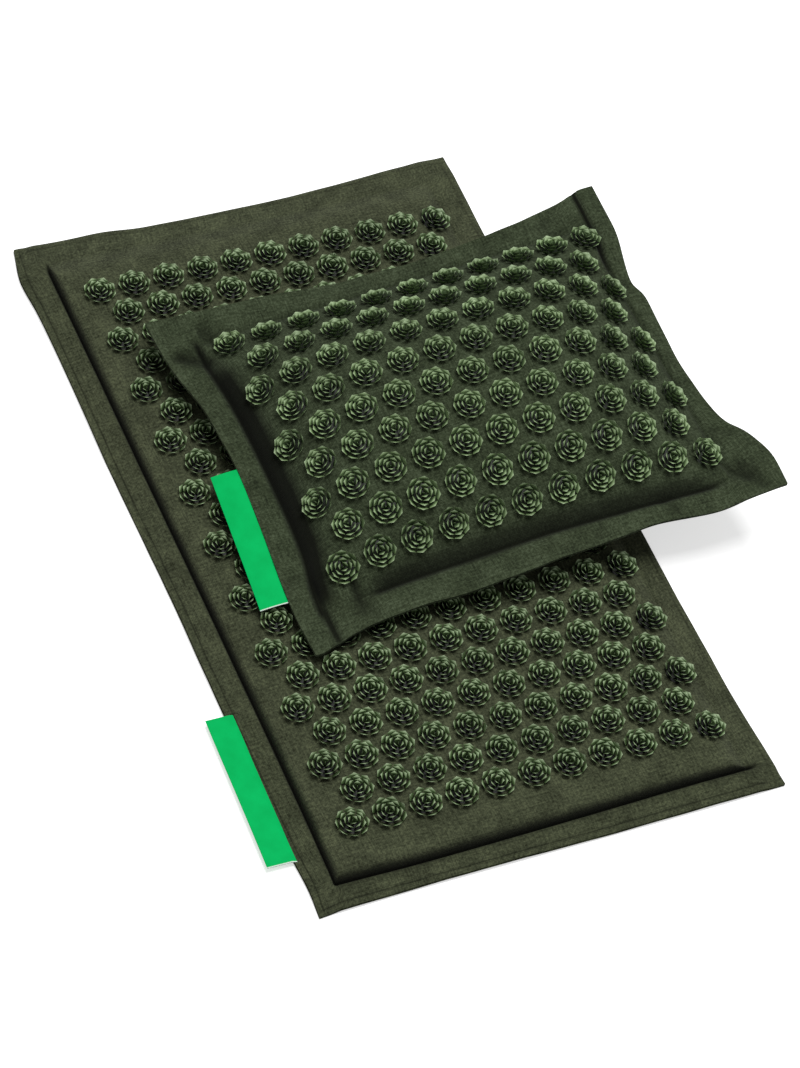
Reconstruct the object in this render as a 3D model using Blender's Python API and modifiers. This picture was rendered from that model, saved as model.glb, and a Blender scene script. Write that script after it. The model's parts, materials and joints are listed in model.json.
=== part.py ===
"""Acupressure mat and its matching pillow, in metres, +Z up.

The origin is the middle of the mat's outline on the floor, +X runs across the mat and +Y along it.
Each is a cloth case of a studded top panel and a plain bottom panel, sewn together along a flat border,
round a filling that comes out through a zip. The pillow lies on the mat, a little tilted.
"""

import math

import bmesh
import bpy
from mathutils import Euler, Matrix, Vector
from mathutils.bvhtree import BVHTree
from mathutils.geometry import delaunay_2d_cdt

# Cloth and clearances
CLOTH = 0.0012
SEAT_GAP = 0.0003
BORDER_GAP = 0.0005
CUT_OVERRUN = 0.002
CUT_TOLERANCE = 1e-7

# Mat outline, border and pad
MAT_WIDTH = 0.426
MAT_LENGTH = 0.730
MAT_BORDER = 0.026
MAT_DRAWN_IN = 0.003
MAT_CORNER_RADIUS = 0.004
MAT_PAD_CORNER_RADIUS = 0.014
PAD_HEIGHT = 0.021
PAD_EDGE_RUN = 0.0065
MAT_FOOT_RUN = 0.008
MAT_GROOVE_HEIGHT = 0.0080
MAT_BORDER_HEIGHT = 0.0092
MAT_EDGE_HEIGHT = 0.0085
MAT_EDGE_WAVE = 0.0012

# Spike rosettes and their field on the mat
ROSETTE_DIAMETER = 0.0295
ROSETTE_BASE_DIAMETER = 0.0225
ROSETTE_HEIGHT = 0.0085
PETAL_TIP_HEIGHT = 0.0058
PETALS = 8
MAT_ROSETTE_GAP = 0.003
MAT_ROW_SHARE = 0.8966
MAT_FIELD_X = 0.0065
MAT_FIELD_Y = -0.006
MAT_FIELD_END_MARGIN = 0.012

# Pillow outline, border and cushion
PILLOW_PAD_WIDTH = 0.368
PILLOW_PAD_DEPTH = 0.286
PILLOW_BORDER = 0.020
PILLOW_CORNER_PULL = 0.018
PILLOW_CORNER_RADIUS = 0.005
PILLOW_PAD_PULL = 0.009
PILLOW_PAD_CORNER_RADIUS = 0.014
PILLOW_CROWN = 0.045
PILLOW_BELLY = 0.044
PILLOW_EDGE_WAVE = 0.0016
BELLY_FLAT_HALF_WIDTH = 0.105
BELLY_FLAT_HALF_DEPTH = 0.050
PILLOW_ROSETTE_GAP = 0.0047
PILLOW_ROW_SHARE = 0.8977
PILLOW_FIELD_X = 0.003
PILLOW_FIELD_Y = 0.007

# Where the pillow lies on the mat
PILLOW_X = 0.0883
PILLOW_Y = 0.0435
PILLOW_Z = 0.0617
PILLOW_TURN_DEGREES = (3.31, -4.87, 1.14)

# Curves of the cushion: how square its crown is across and along
CROWN_ACROSS_POWER = 3.2
CROWN_ACROSS_FULLNESS = 0.9
CROWN_ALONG_POWER = 2.7
CROWN_ALONG_FULLNESS = 1.07
CROWN_ROW_SHARES = (0.98, 0.89, 0.75, 0.55, 0.25)
BELLY_ROW_SHARES = (0.95, 0.72, 0.45, 0.15)
FILLING_EDGE_SHARE = 0.90
FILLING_FACE_SHARE = 0.80

# Side labels
LABEL_THICKNESS = 0.0008
LABEL_REACH = 0.026
LABEL_TUCK = 0.006
LABEL_CURL = 0.005
MAT_LABEL_FROM_END = 0.051
MAT_LABEL_LENGTH = 0.148
PILLOW_LABEL_FROM_SEAM = 0.015
PILLOW_LABEL_LENGTH = 0.138

# Zips
TAPE_WIDTH = 0.011
TAPE_THICKNESS = 0.0005
COIL_WIDTH = 0.0017
COIL_THICKNESS = 0.0014
COIL_PARTING = 0.0011
ZIP_SLOT = 0.008
STOP_LENGTH = 0.0022
MAT_ZIP_MARGIN = 0.037
MAT_ZIP_FROM_END = 0.070
PILLOW_ZIP_MARGIN = 0.114
SLIDER_LENGTH = 0.0085
SLIDER_PLATE = 0.0008
SLIDER_FLANGE = 0.0008
SLIDER_WEB = 0.0005
SLIDER_WEB_LENGTH = 0.0026
BRIDGE_WIDTH = 0.0014
BRIDGE_LENGTH = 0.0062
BRIDGE_BAR_THICKNESS = 0.0006
BRIDGE_WINDOW = 0.0017
TAB_LENGTH = 0.015
TAB_WIDTH = 0.0055
TAB_THICKNESS = 0.0008
TAB_EYE_WIDTH = 0.0034
TAB_EYE_LENGTH = 0.0036
TAB_CORNER_RADIUS = 0.0012
TROUGH_RAMP = 0.006
TROUGH_MARGIN = 0.001

# Number of points round a section: along the long side, along the short side, round a corner
LONG_SIDE_POINTS = 7
SHORT_SIDE_POINTS = 4
CORNER_POINTS = 3
MAT_WAVES = 7
PILLOW_WAVES = 5
EDGE_STEPS = 4
LABEL_STEPS = 6
FOOT_STEPS = 3

MAT_HALF = Vector((MAT_WIDTH / 2, MAT_LENGTH / 2))
MAT_PAD_HALF = Vector((MAT_WIDTH / 2 - MAT_BORDER, MAT_LENGTH / 2 - MAT_BORDER))
PILLOW_PAD_HALF = Vector((PILLOW_PAD_WIDTH / 2, PILLOW_PAD_DEPTH / 2))
PILLOW_HALF = PILLOW_PAD_HALF + Vector((PILLOW_BORDER, PILLOW_BORDER))
BORDER_THICKNESS = 2 * CLOTH + BORDER_GAP
REST_HEIGHT = PAD_HEIGHT + ROSETTE_HEIGHT + SEAT_GAP
MAT_ZIP_LENGTH = 2 * (MAT_PAD_HALF.x - MAT_ZIP_MARGIN)
PILLOW_ZIP_LENGTH = 2 * (PILLOW_PAD_HALF.x - PILLOW_ZIP_MARGIN)
MAT_LABEL_LOW = MAT_LABEL_FROM_END - MAT_HALF.y
MAT_LABEL_TOP = MAT_LABEL_LOW + MAT_LABEL_LENGTH
PILLOW_LABEL_LOW = PILLOW_LABEL_FROM_SEAM - PILLOW_PAD_HALF.y
PILLOW_LABEL_TOP = PILLOW_LABEL_LOW + PILLOW_LABEL_LENGTH
PILLOW_FRAME = Matrix.LocRotScale(
    Vector((PILLOW_X, PILLOW_Y, PILLOW_Z)),
    Euler([math.radians(turn) for turn in PILLOW_TURN_DEGREES], "XYZ"),
    None,
)


def clear_scene():
    for old in list(bpy.data.objects):
        bpy.data.objects.remove(old, do_unlink=True)


def new_collection(name):
    collection = bpy.data.collections.new(name)
    bpy.context.scene.collection.children.link(collection)
    return collection


clear_scene()
PARTS = new_collection("acupressure_mat")
CUTTERS = new_collection("cutters")


def material(name, colour, roughness, metallic=0.0):
    made = bpy.data.materials.new(name)
    made.use_nodes = True
    shader = made.node_tree.nodes["Principled BSDF"]
    shader.inputs["Base Color"].default_value = (*colour, 1.0)
    shader.inputs["Roughness"].default_value = roughness
    shader.inputs["Metallic"].default_value = metallic
    return made


def add_object(name, shape, finish, frame=None, collection=None):
    """An object made from a bmesh in its own frame, which it frees."""
    mesh = bpy.data.meshes.new(name)
    shape.to_mesh(mesh)
    shape.free()
    mesh.shade_smooth()
    mesh.set_sharp_from_angle(angle=math.radians(30))
    made = bpy.data.objects.new(name, mesh)
    if finish:
        mesh.materials.append(finish)
    made.matrix_world = frame or Matrix.Identity(4)
    (collection or PARTS).objects.link(made)
    return made


def helper(name, shape, frame=None):
    """A cutter or a piece to be joined on: never a part by itself."""
    made = add_object(name, shape, None, frame, CUTTERS)
    made.hide_render = True
    made.display_type = "WIRE"
    return made


def combine(target, other, operation):
    boolean = target.modifiers.new(f"{operation.lower()} {other.name}", "BOOLEAN")
    boolean.operation = operation
    boolean.solver = "EXACT"
    boolean.object = other


def block(size, centre):
    shape = bmesh.new()
    place = Matrix.Translation(Vector(centre)) @ Matrix.Diagonal((*size, 1))
    bmesh.ops.create_cube(shape, size=1, matrix=place)
    return shape


# Sections: closed rows of points round the mat or the pillow
def ring(half, radius):
    """A rounded rectangle as points, anticlockwise from the right side's lower corner."""
    corners = ((1, -1, -90), (1, 1, 0), (-1, 1, 90), (-1, -1, 180))
    side_points = (LONG_SIDE_POINTS, SHORT_SIDE_POINTS)
    if half.x > half.y:
        side_points = (SHORT_SIDE_POINTS, LONG_SIDE_POINTS)
    points = []
    for index, (side_x, side_y, start) in enumerate(corners):
        centre = Vector((side_x * (half.x - radius), side_y * (half.y - radius)))
        for step in range(CORNER_POINTS):
            turn = math.radians(start + 90 * step / (CORNER_POINTS - 1))
            points.append(centre + radius * Vector((math.cos(turn), math.sin(turn))))
        next_x, next_y, next_start = corners[(index + 1) % len(corners)]
        turn = math.radians(next_start)
        onward = Vector((next_x * (half.x - radius), next_y * (half.y - radius)))
        onward += radius * Vector((math.cos(turn), math.sin(turn)))
        here = points[-1]
        count = side_points[index % 2]
        for step in range(count):
            points.append(here.lerp(onward, (step + 1) / (count + 1)))
    return points


def drawn_in(points, half, amount_x, amount_y):
    """The same row with the middle of each side pulled in, so that the corners stand out."""
    pulled = []
    for point in points:
        share_x = min(abs(point.x) / half.x, 1)
        share_y = min(abs(point.y) / half.y, 1)
        in_x = amount_x * (1 - share_y**2) * share_x
        in_y = amount_y * (1 - share_x**2) * share_y
        pulled.append(point - Vector((math.copysign(in_x, point.x), math.copysign(in_y, point.y))))
    return pulled


def row(points, height):
    """Points with a height, which is one number or a function of the point's place in the row."""
    count = len(points)
    return [
        Vector((point.x, point.y, height(index / count, point) if callable(height) else height))
        for index, point in enumerate(points)
    ]


def between(outer, inner, share):
    return [a.lerp(b, share) for a, b in zip(outer, inner)]


def loft(rows, capped=True):
    """An open surface through the rows, from the first one to the last, facing up where they shrink.

    Each quad is split along its shorter diagonal, so that the same rows always give the same facets.
    """
    shape = bmesh.new()
    made = [[shape.verts.new(point) for point in points] for points in rows]
    for first, second in zip(made, made[1:]):
        for index in range(len(first)):
            after = (index + 1) % len(first)
            a, b, c, d = first[index], first[after], second[after], second[index]
            if (a.co - c.co).length < (b.co - d.co).length:
                shape.faces.new((a, b, c))
                shape.faces.new((a, c, d))
            else:
                shape.faces.new((a, b, d))
                shape.faces.new((b, c, d))
    if capped:
        last = made[-1]
        middle = shape.verts.new(sum((vert.co for vert in last), Vector()) / len(last))
        for index, vert in enumerate(last):
            shape.faces.new((vert, last[(index + 1) % len(last)], middle))
    return shape


def flipped(shape):
    bmesh.ops.reverse_faces(shape, faces=shape.faces)
    return shape


def lowered_rows(rows, drop):
    return [[point - Vector((0, 0, drop)) for point in points] for points in rows]


def shrunk(shape, distance):
    """A closed shape with every face moved in by the same distance."""
    shape.normal_update()
    moves = [(vert, vert.normal * distance * vert.calc_shell_factor()) for vert in shape.verts]
    for vert, move in moves:
        vert.co -= move
    return shape


def give_thickness(shape):
    """Closes an open surface into a cloth panel: a copy on its inner side, and rims between the two."""
    shape.normal_update()
    moves = {vert: vert.normal * CLOTH * vert.calc_shell_factor() for vert in shape.verts}
    rims = [tuple(edge.verts) for edge in shape.edges if edge.is_boundary]
    made = bmesh.ops.duplicate(shape, geom=shape.verts[:] + shape.edges[:] + shape.faces[:])
    copies = made["vert_map"]
    for vert, move in moves.items():
        copies[vert].co -= move
    for first, second in rims:
        shape.faces.new((first, second, copies[second], copies[first]))
    bmesh.ops.recalc_face_normals(shape, faces=shape.faces)
    return shape


def rows_inside(rows, facing_down=False):
    """The rows of a panel moved in to where a filling comes to rest against the cloth."""
    shape = loft(rows)
    if facing_down:
        flipped(shape)
    shrunk(shape, CLOTH + SEAT_GAP)
    points = [vert.co.copy() for vert in shape.verts]
    shape.free()
    count = len(rows[0])
    return [points[index * count : (index + 1) * count] for index in range(len(rows))]


def filling_shape(rows):
    """A closed body through the rows, from its underside up."""
    shape = loft(rows)
    lowest = list(shape.verts)[: len(rows[0])]
    shape.faces.new(list(reversed(lowest)))
    bmesh.ops.recalc_face_normals(shape, faces=shape.faces)
    return shape


# Rosettes: an eight-petalled crown of spikes, moulded in one piece and bonded to the cloth
def plan_distance(along_cloth, height_at):
    """How far across the plan a length of cloth reaches over the crown."""
    steps = 60
    step = along_cloth / steps
    reached = 0.0
    for _ in range(steps):
        rise = height_at(reached + step / 2) - height_at(reached - step / 2)
        reached += step / math.hypot(1, rise / step) if step else 0
    return reached


def most_that_fit(pitch, limit, height_at):
    """The most rosettes in one line whose outermost bases stay inside the limit."""
    count = 1
    while plan_distance(count * pitch / 2, height_at) + ROSETTE_BASE_DIAMETER / 2 <= limit:
        count += 1
    return count


def field_places(limit, gap, row_share, offset, height_at):
    """Middles of the rosettes in plan: long rows and rows of one fewer by turns, half a pitch apart."""
    pitch = ROSETTE_DIAMETER + gap
    row_pitch = pitch * row_share
    rows = most_that_fit(row_pitch, limit.y - abs(offset.y), lambda reach: height_at(0, reach))
    columns = most_that_fit(pitch, limit.x - abs(offset.x), lambda reach: height_at(reach, 0))
    places = []
    for index in range(rows):
        along_cloth = ((rows - 1) / 2 - index) * row_pitch
        count = columns - index % 2
        for step in range(count):
            across_cloth = (step - (count - 1) / 2) * pitch
            across = plan_distance(across_cloth, lambda reach: height_at(reach, along_cloth))
            along = plan_distance(along_cloth, lambda reach: height_at(across, reach))
            places.append(offset + Vector((across, along)))
    return places


def rosette_base(middle, height_at):
    """The corners of one base in plan: a regular ring on the slope of the cloth, seen from above."""
    reach = ROSETTE_BASE_DIAMETER / 2
    slopes = []
    for axis in (Vector((reach, 0)), Vector((0, reach))):
        rise = height_at(*(middle + axis)) - height_at(*(middle - axis))
        slopes.append(Vector((*(2 * axis), rise)))
    side = slopes[0].normalized()
    up_slope = slopes[0].cross(slopes[1]).normalized().cross(side)
    turns = [2 * math.pi * step / PETALS for step in range(PETALS)]
    return [middle + reach * (side * math.cos(turn) + up_slope * math.sin(turn)).xy for turn in turns]


def raise_rosettes(shape, bases):
    """Each base is poked and its middle raised, then each side is poked and drawn out to a petal's tip."""
    shape.normal_update()
    for base in bases:
        middle = base.calc_center_median()
        normal = base.normal.copy()
        apex = bmesh.ops.poke(shape, faces=[base])["verts"][0]
        apex.co = middle + normal * ROSETTE_HEIGHT
        for tip in bmesh.ops.poke(shape, faces=list(apex.link_faces))["verts"]:
            outward = tip.co - middle
            outward -= normal * outward.dot(normal)
            outward.normalize()
            tip.co = middle + outward * ROSETTE_DIAMETER / 2 + normal * PETAL_TIP_HEIGHT


def add_studded_cloth(shape, boundary, places, height_at):
    """The cloth inside a row of points, and a rosette at each place, in one unbroken surface."""
    points = [vert.co.xy for vert in boundary]
    loops = [list(range(len(points)))]
    for place in places:
        corners = rosette_base(place, height_at)
        loops.append(list(range(len(points), len(points) + len(corners))))
        points += corners
    triangles_inside = 1
    made = delaunay_2d_cdt(points, [], loops, triangles_inside, CUT_TOLERANCE)
    verts = {}
    for point, origins in zip(made[0], made[3]):
        for origin in origins:
            on_edge = origin < len(boundary)
            height = None if on_edge else height_at(*point)
            verts[origin] = boundary[origin] if on_edge else shape.verts.new((*point, height))
    for face, owners in zip(made[2], made[5]):
        if owners == [0]:
            shape.faces.new([verts[made[3][index][0]] for index in face])
    bases = [shape.faces.new([verts[index] for index in loop]) for loop in loops[1:]]
    raise_rosettes(shape, bases)


def studded_panel(rows, inner_rows, places):
    """A closed panel: studded cloth outside, plain cloth inside, one cloth thickness apart."""
    lining = loft(rows + inner_rows)
    tree = BVHTree.FromBMesh(lining)
    down = Vector((0, 0, -1))

    def height_at(x, y):
        return tree.ray_cast(Vector((x, y, MAT_WIDTH)), down)[0].z

    shape = loft(rows, capped=False)
    count = len(rows[0])
    verts = list(shape.verts)
    outline = verts[:count]
    add_studded_cloth(shape, verts[-count:], places, height_at)

    flipped(shrunk(lining, CLOTH))
    mesh = bpy.data.meshes.new("lining")
    lining.to_mesh(mesh)
    lining.free()
    before = len(shape.verts)
    shape.from_mesh(mesh)
    bpy.data.meshes.remove(mesh)
    inner_outline = list(shape.verts)[before : before + count]
    for index in range(count):
        after = (index + 1) % count
        shape.faces.new((outline[after], outline[index], inner_outline[index], inner_outline[after]))
    bmesh.ops.recalc_face_normals(shape, faces=shape.faces)
    return shape


# Mat case and core
def edge_wave(size, waves, quiet_low, quiet_high):
    """A gentle ripple round the border, none of it where the label is sewn into the left side."""

    def height(share, point):
        on_label_side = point.x < 0 and quiet_low <= point.y <= quiet_high
        return 0 if on_label_side else size * math.sin(2 * math.pi * waves * share)

    return height


def mat_border_rows():
    outline = drawn_in(ring(MAT_HALF, MAT_CORNER_RADIUS), MAT_HALF, MAT_DRAWN_IN, MAT_DRAWN_IN)
    groove = ring(MAT_PAD_HALF, MAT_PAD_CORNER_RADIUS)
    reach = MAT_LENGTH / (LONG_SIDE_POINTS + 1)
    wave = edge_wave(MAT_EDGE_WAVE, MAT_WAVES, MAT_LABEL_LOW - reach, MAT_LABEL_TOP + reach)
    return [
        row(outline, lambda share, point: MAT_EDGE_HEIGHT + wave(share, point)),
        row(between(outline, groove, 0.5), MAT_BORDER_HEIGHT),
        row(groove, MAT_GROOVE_HEIGHT),
    ]


def mat_inset_ring(inset):
    inner_half = MAT_PAD_HALF - Vector((inset, inset))
    return ring(inner_half, max(MAT_PAD_CORNER_RADIUS - inset / 2, MAT_CORNER_RADIUS))


def mat_upper_rows():
    """The pad's rounded upper edge, from the groove up to the flat top."""
    rise = PAD_HEIGHT - MAT_GROOVE_HEIGHT
    rows = []
    for step in range(1, EDGE_STEPS + 1):
        turn = math.radians(90 * step / EDGE_STEPS)
        inset = PAD_EDGE_RUN * (1 - math.cos(turn))
        rows.append(row(mat_inset_ring(inset), MAT_GROOVE_HEIGHT + rise * math.sin(turn)))
    return rows


def mat_lower_rows():
    """The underside's rounded edge, from the seam down to the floor."""
    seam = MAT_GROOVE_HEIGHT - BORDER_THICKNESS
    rows = []
    for step in range(FOOT_STEPS + 1):
        turn = math.radians(90 * step / FOOT_STEPS)
        inset = 2 * CLOTH + MAT_FOOT_RUN * (1 - math.cos(turn))
        rows.append(row(mat_inset_ring(inset), seam * (1 - math.sin(turn))))
    return rows


def zip_height():
    """How far a zip stands out of the cloth that it is sewn to."""
    return slider_levels()["bridge_top"]


def mat_zip_frame():
    """X along the zip, Z out of the case: the zip lies in a trough, clear of the floor."""
    place = Matrix.Translation((0, MAT_LENGTH / 2 - MAT_ZIP_FROM_END, zip_height() + SEAT_GAP))
    return place @ Matrix.Rotation(math.pi, 4, "X")


def trough_half_size():
    return Vector((MAT_ZIP_LENGTH / 2 + TAB_LENGTH, tape_edge() + TROUGH_MARGIN))


def rectangle(half, centre, height):
    corners = ((1, -1), (1, 1), (-1, 1), (-1, -1))
    return [Vector((centre.x + x * half.x, centre.y + y * half.y, height)) for x, y in corners]


def make_mat_case(cloth):
    border = mat_border_rows()
    field_half = MAT_PAD_HALF - Vector((PAD_EDGE_RUN, PAD_EDGE_RUN + MAT_FIELD_END_MARGIN))
    offset = Vector((MAT_FIELD_X, MAT_FIELD_Y))

    def level(x, y):
        return PAD_HEIGHT

    places = field_places(field_half, MAT_ROSETTE_GAP, MAT_ROW_SHARE, offset, level)
    shape = studded_panel(border + mat_upper_rows(), [], places)
    top = add_object("mat_top_panel", shape, cloth)

    rows = lowered_rows(border, BORDER_THICKNESS) + mat_lower_rows()
    shape = loft(rows, capped=False)
    edges = [edge for edge in shape.edges if edge.is_boundary]
    floor_edge = [edge for edge in edges if all(vert.co.z < CLOTH for vert in edge.verts)]
    frame = mat_zip_frame()
    centre = frame.translation
    roof = trough_half_size()
    foot = roof + Vector((TROUGH_RAMP, TROUGH_RAMP))
    slot = Vector((MAT_ZIP_LENGTH / 2 + STOP_LENGTH + 2 * SEAT_GAP, ZIP_SLOT / 2))
    sizes = ((foot, 0), (roof, centre.z), (slot, centre.z))
    loops = [[shape.verts.new(point) for point in rectangle(half, centre, height)] for half, height in sizes]
    for first, second in zip(loops, loops[1:]):
        for index in range(len(first)):
            after = (index + 1) % len(first)
            shape.faces.new((first[index], first[after], second[after], second[index]))
    foot_edges = [shape.edges.get((a, b)) for a, b in zip(loops[0], loops[0][1:] + loops[0][:1])]
    bmesh.ops.triangle_fill(shape, use_beauty=True, edges=floor_edge + foot_edges)
    bmesh.ops.recalc_face_normals(shape, faces=shape.faces)
    shape.normal_update()
    flat = [face for face in shape.faces if face.calc_center_median().z < CLOTH]
    if sum(face.normal.z * face.calc_area() for face in flat) > 0:
        flipped(shape)
    bottom = add_object("mat_bottom_panel", give_thickness(shape), cloth)
    return top, bottom


def make_mat_core(finish):
    border = mat_border_rows()
    upper = rows_inside(border + mat_upper_rows())[len(border) :]
    under_border = lowered_rows(border, BORDER_THICKNESS)
    lower = rows_inside(under_border + mat_lower_rows(), facing_down=True)[len(border) :]
    core = add_object("mat_filling", filling_shape(list(reversed(lower)) + upper), finish)
    frame = mat_zip_frame()
    roof = trough_half_size() + Vector((TROUGH_RAMP, TROUGH_RAMP))
    depth = frame.translation.z + CLOTH + slider_levels()["depth"] + SEAT_GAP
    size = (2 * roof.x + 2 * CLOTH, 2 * roof.y + 2 * CLOTH, depth + CUT_OVERRUN)
    centre = (frame.translation.x, frame.translation.y, (depth - CUT_OVERRUN) / 2)
    combine(core, helper("mat_core_channel", block(size, centre)), "DIFFERENCE")
    return core


# Pillow case and filling
def bulge(reach, half, power, fullness):
    share = min(abs(reach) / half, 1)
    return (1 - share**power) ** fullness


def bulge_across(x):
    return bulge(x, PILLOW_PAD_HALF.x, CROWN_ACROSS_POWER, CROWN_ACROSS_FULLNESS)


def bulge_along(y):
    return bulge(y, PILLOW_PAD_HALF.y, CROWN_ALONG_POWER, CROWN_ALONG_FULLNESS)


def crown_height(x, y):
    return PILLOW_CROWN * bulge_across(x) * bulge_along(y)


def belly_height(x, y):
    """The underside hangs below the border, with its middle flattened where it carries the weight."""
    across = min(bulge_across(x) / bulge_across(BELLY_FLAT_HALF_WIDTH), 1)
    along = min(bulge_along(y) / bulge_along(BELLY_FLAT_HALF_DEPTH), 1)
    return -BORDER_THICKNESS - PILLOW_BELLY * across * along


def at_rest(points, clearance):
    """No point of a row lower than the mat's spikes, on which the pillow lies."""
    back = PILLOW_FRAME.inverted()
    rested = []
    for point in points:
        world = PILLOW_FRAME @ point
        world.z = max(world.z, REST_HEIGHT + clearance)
        rested.append(back @ world)
    return rested


def pulled_ring(half, pull, radius):
    """A ring whose corners stand out past its sides, which are as far apart as the size says."""
    corner_half = half + Vector((pull, pull))
    return drawn_in(ring(corner_half, radius), corner_half, pull, pull)


def pillow_ring(share):
    return pulled_ring(PILLOW_PAD_HALF * share, PILLOW_PAD_PULL * share, PILLOW_PAD_CORNER_RADIUS * share)


def pillow_border_rows():
    outline = pulled_ring(PILLOW_HALF, PILLOW_CORNER_PULL, PILLOW_CORNER_RADIUS)
    groove = pillow_ring(1)
    reach = PILLOW_PAD_DEPTH / (SHORT_SIDE_POINTS + 1)
    wave = edge_wave(PILLOW_EDGE_WAVE, PILLOW_WAVES, PILLOW_LABEL_LOW - reach, PILLOW_LABEL_TOP + reach)
    rows = [row(outline, wave), row(between(outline, groove, 0.5), 0), row(groove, 0)]
    return [at_rest(points, BORDER_THICKNESS) for points in rows]


def cushion_rows(row_shares, height_at):
    rows = []
    for share in row_shares:
        rows.append(row(pillow_ring(share), lambda _, point: height_at(point.x, point.y)))
    return rows


def pillow_lower_rows():
    """The underside from its seam, which is set a little inside the groove above it."""
    inner_half = PILLOW_PAD_HALF - Vector((2 * CLOTH, 2 * CLOTH))
    seam = pulled_ring(inner_half, PILLOW_PAD_PULL, PILLOW_PAD_CORNER_RADIUS)
    rows = [row(seam, -BORDER_THICKNESS)] + cushion_rows(BELLY_ROW_SHARES, belly_height)
    return [at_rest(points, 0) for points in rows]


def pillow_zip_frame():
    """On the far flank of the underside, X along the zip and Z out of the case."""
    low, high = [
        Vector((0, PILLOW_PAD_HALF.y * share, belly_height(0, PILLOW_PAD_HALF.y * share)))
        for share in (BELLY_ROW_SHARES[1], BELLY_ROW_SHARES[0])
    ]
    rise = (high - low).normalized()
    middle = low.lerp(high, 0.5)
    outward = Vector((1, 0, 0)).cross(rise).normalized()
    if outward.z > 0:
        outward = -outward
    across = outward.cross(Vector((1, 0, 0)))
    turn = Matrix((Vector((1, 0, 0)), across, outward)).transposed().to_4x4()
    return PILLOW_FRAME @ Matrix.Translation(middle) @ turn


def make_pillow_case(cloth):
    border = pillow_border_rows()
    crown_rows = cushion_rows(CROWN_ROW_SHARES, crown_height)
    field_half = PILLOW_PAD_HALF * CROWN_ROW_SHARES[0]
    offset = Vector((PILLOW_FIELD_X, PILLOW_FIELD_Y))
    places = field_places(field_half, PILLOW_ROSETTE_GAP, PILLOW_ROW_SHARE, offset, crown_height)
    shape = studded_panel(border + crown_rows[:1], crown_rows[1:], places)
    top = add_object("pillow_top_panel", shape, cloth, PILLOW_FRAME)

    shape = flipped(loft(lowered_rows(border, BORDER_THICKNESS) + pillow_lower_rows()))
    bottom = add_object("pillow_bottom_panel", give_thickness(shape), cloth, PILLOW_FRAME)
    slot = block(
        (PILLOW_ZIP_LENGTH + 2 * STOP_LENGTH + 4 * SEAT_GAP, ZIP_SLOT, 2 * CLOTH + 2 * CUT_OVERRUN),
        (0, 0, -CLOTH / 2),
    )
    combine(bottom, helper("pillow_zip_slot", slot, pillow_zip_frame()), "DIFFERENCE")
    return top, bottom


def faces_of_filling(rows, row_shares):
    """The rows nearest the middle, which the filling's rounded edge leaves to its faces."""
    kept = sum(share < FILLING_FACE_SHARE for share in row_shares)
    return rows[len(rows) - kept :]


def make_pillow_filling(finish):
    border = pillow_border_rows()
    under_border = lowered_rows(border, BORDER_THICKNESS)
    upper = rows_inside(border + cushion_rows(CROWN_ROW_SHARES, crown_height))
    lower = rows_inside(under_border + pillow_lower_rows(), facing_down=True)
    edge = cushion_rows([FILLING_EDGE_SHARE], lambda x, y: (crown_height(x, y) + belly_height(x, y)) / 2)
    upper = faces_of_filling(upper, CROWN_ROW_SHARES)
    lower = faces_of_filling(lower, BELLY_ROW_SHARES)
    shape = filling_shape(list(reversed(lower)) + edge + upper)
    filling = add_object("pillow_filling", shape, finish, PILLOW_FRAME)
    depth = CLOTH + slider_levels()["depth"] + SEAT_GAP
    half_length = PILLOW_ZIP_LENGTH / 2 + STOP_LENGTH + TROUGH_MARGIN
    half_width = tape_edge() + TROUGH_MARGIN
    channel = slab((-half_length, half_length), (-half_width, half_width), (-depth, CUT_OVERRUN))
    combine(filling, helper("pillow_filling_channel", channel, pillow_zip_frame()), "DIFFERENCE")
    return filling


# Side labels: a ribbon folded once and sewn into the left border
def label_frame(upper, lower, height, tilt):
    """X out of the border and Y back along its edge, at the middle of the label's stretch."""
    back = (lower - upper).normalized()
    up = Vector((0, 0, 1))
    turn = Matrix((back.cross(up), back, up)).transposed().to_4x4()
    middle = (upper + lower) / 2
    place = Matrix.Translation((middle.x, middle.y, height))
    return place @ turn @ Matrix.Rotation(tilt, 4, "Y")


def label_shape(length):
    shape = bmesh.new()
    bmesh.ops.create_grid(shape, x_segments=LABEL_STEPS, y_segments=1, size=1)
    for vert in shape.verts:
        share = (vert.co.x + 1) / 2
        out = share * (LABEL_REACH + LABEL_TUCK) - LABEL_TUCK
        lift = LABEL_CURL * max(out / LABEL_REACH, 0) ** 2
        vert.co = Vector((out, vert.co.y * length / 2, lift))
    return shape


def make_label(name, finish, frame, length, panels):
    label = add_object(name, label_shape(length), finish, frame)
    solidify = label.modifiers.new("ribbon thickness", "SOLIDIFY")
    solidify.thickness = LABEL_THICKNESS
    solidify.offset = 0
    pocket_depth = LABEL_TUCK + SEAT_GAP
    pocket = block(
        (pocket_depth + CUT_OVERRUN, length + 2 * SEAT_GAP, LABEL_THICKNESS + 2 * SEAT_GAP),
        ((CUT_OVERRUN - pocket_depth) / 2, 0, 0),
    )
    cutter = helper(f"{name}_pocket", pocket, frame)
    for panel in panels:
        combine(panel, cutter, "DIFFERENCE")
    return label


def edge_x(half, pull, y):
    """Where the drawn-in left edge is at this place along it."""
    return -(half.x - pull * (1 - (y / half.y) ** 2))


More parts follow.
